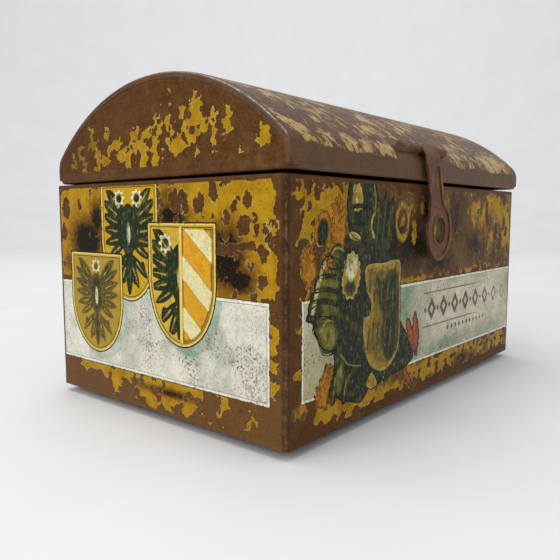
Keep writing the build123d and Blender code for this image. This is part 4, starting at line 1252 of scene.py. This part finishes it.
def floor():
    """A pale floor that curves up into a round wall, so no edge of it shows from any side."""
    profile = [(FLOOR_RADIUS, 0.0)]
    for step in range(1, FLOOR_STEPS + 1):
        turn = math.radians(90 * step / FLOOR_STEPS)
        profile.append((FLOOR_RADIUS + FLOOR_CURVE * math.sin(turn), FLOOR_CURVE * (1 - math.cos(turn))))
    profile.append((FLOOR_RADIUS + FLOOR_CURVE, FLOOR_WALL))
    points = [(0.0, 0.0, 0.0)]
    for radius, height in profile:
        for turn in range(FLOOR_TURNS):
            angle = 2 * math.pi * turn / FLOOR_TURNS
            points.append((radius * math.cos(angle), radius * math.sin(angle), height))
    faces = [(0, 1 + turn, 1 + (turn + 1) % FLOOR_TURNS) for turn in range(FLOOR_TURNS)]
    for ring in range(1, len(profile)):
        for turn in range(FLOOR_TURNS):
            a = 1 + ring * FLOOR_TURNS + turn
            b = 1 + ring * FLOOR_TURNS + (turn + 1) % FLOOR_TURNS
            faces.append((a - FLOOR_TURNS, a, b, b - FLOOR_TURNS))
    mesh = bpy.data.meshes.new("floor")
    mesh.from_pydata(points, [], faces)
    mesh.shade_smooth()
    mesh.materials.append(floor_white())
    piece = add_object("floor", mesh)


def light():
    """Soft lamps above, to the left and in front, one for the backdrop, and a pale world."""
    bpy.context.scene.view_settings.view_transform = "Standard"
    world = bpy.data.worlds.new("studio")
    world.use_nodes = True
    background = world.node_tree.nodes["Background"]
    background.inputs["Color"].default_value = WORLD_COLOUR
    background.inputs["Strength"].default_value = WORLD_STRENGTH
    bpy.context.scene.world = world
    for name, place, aim, size, power in LAMPS:
        lamp = bpy.data.lights.new(name, "AREA")
        lamp.shape = "DISK"
        lamp.size = size
        lamp.energy = power
        piece = add_object(name, lamp)
        piece.location = place
        piece.rotation_euler = (Vector(aim) - Vector(place)).to_track_quat("-Z", "Y").to_euler()


def camera():
    data = bpy.data.cameras.new("camera")
    data.lens = CAMERA_LENS
    data.sensor_width = CAMERA_SENSOR
    data.clip_start = CAMERA_NEAREST
    piece = add_object("camera", data)
    piece.location = CAMERA_PLACE
    piece.rotation_euler = (math.radians(90 - CAMERA_TILT), 0, math.radians(CAMERA_TURN))
    bpy.context.scene.camera = piece


def skins():
    """What is printed, one skin for each wall, each end of the lid and each half of its barrel."""
    half = LENGTH / 2 - WALL_MARGIN
    skin("front_print", "box", (-half, WALL_PRINT_LOW), (half, WALL_PRINT_HIGH), front_place, front_print)
    low, high = (WALL_MARGIN, WALL_PRINT_LOW), (DEPTH - WALL_MARGIN, WALL_PRINT_HIGH)
    skin("left_print", "box", low, high, left_place, left_print)
    skin("right_print", "box", low, high, right_place, right_print)
    high = (LENGTH - WALL_MARGIN, WALL_PRINT_HIGH)
    skin("back_print", "box", low, high, back_place, back_print, seam_hole)
    low = (CRIMP_WIDTH, CURL_TOP)
    high = (2 * LID_HALF_DEPTH - CRIMP_WIDTH, CROWN_RADIUS + CROWN_RISE - CRIMP_WIDTH)
    skin("lid_left_print", "lid", low, high, left_end_place, lid_end_print, outside_end_panel)
    skin("lid_right_print", "lid", low, high, right_end_place, lid_end_print, outside_end_panel)
    reach = LENGTH / 2 - BARREL_MARGIN
    low, high = (-reach, 0.0), (reach, HALF_ARC)
    skin("lid_front_print", "lid", low, high, barrel_place, barrel_print, barrel_hole, joined_above=True)
    skin("lid_back_print", "lid", low, high, from_behind(barrel_place), from_behind(barrel_print),
         from_behind(barrel_hole), joined_above=True)


def cad_nodes():
    """Rust on every CAD node."""
    panel = rusty_sheet("panel_rust")
    chosen = {
        "body_wrap": rusty_sheet("wall_rust", folded=True),
        "lid_barrel": rusty_sheet("barrel_rust", shine=0.35, crimped=True),
        "lid_end_left": panel,
        "lid_end_right": panel,
        "base_pan": rusty_sheet("base_rust", darker=0.35),
        "hasp_strap": rusty_fitting("strap_rust", dust=0.8),
    }
    steel = rusty_fitting("fitting_rust")
    for name, node in NODES.items():
        for slot in node.material_slots:
            slot.material = chosen.get(name, steel)


cad_nodes()
skins()
floor()
light()
camera()
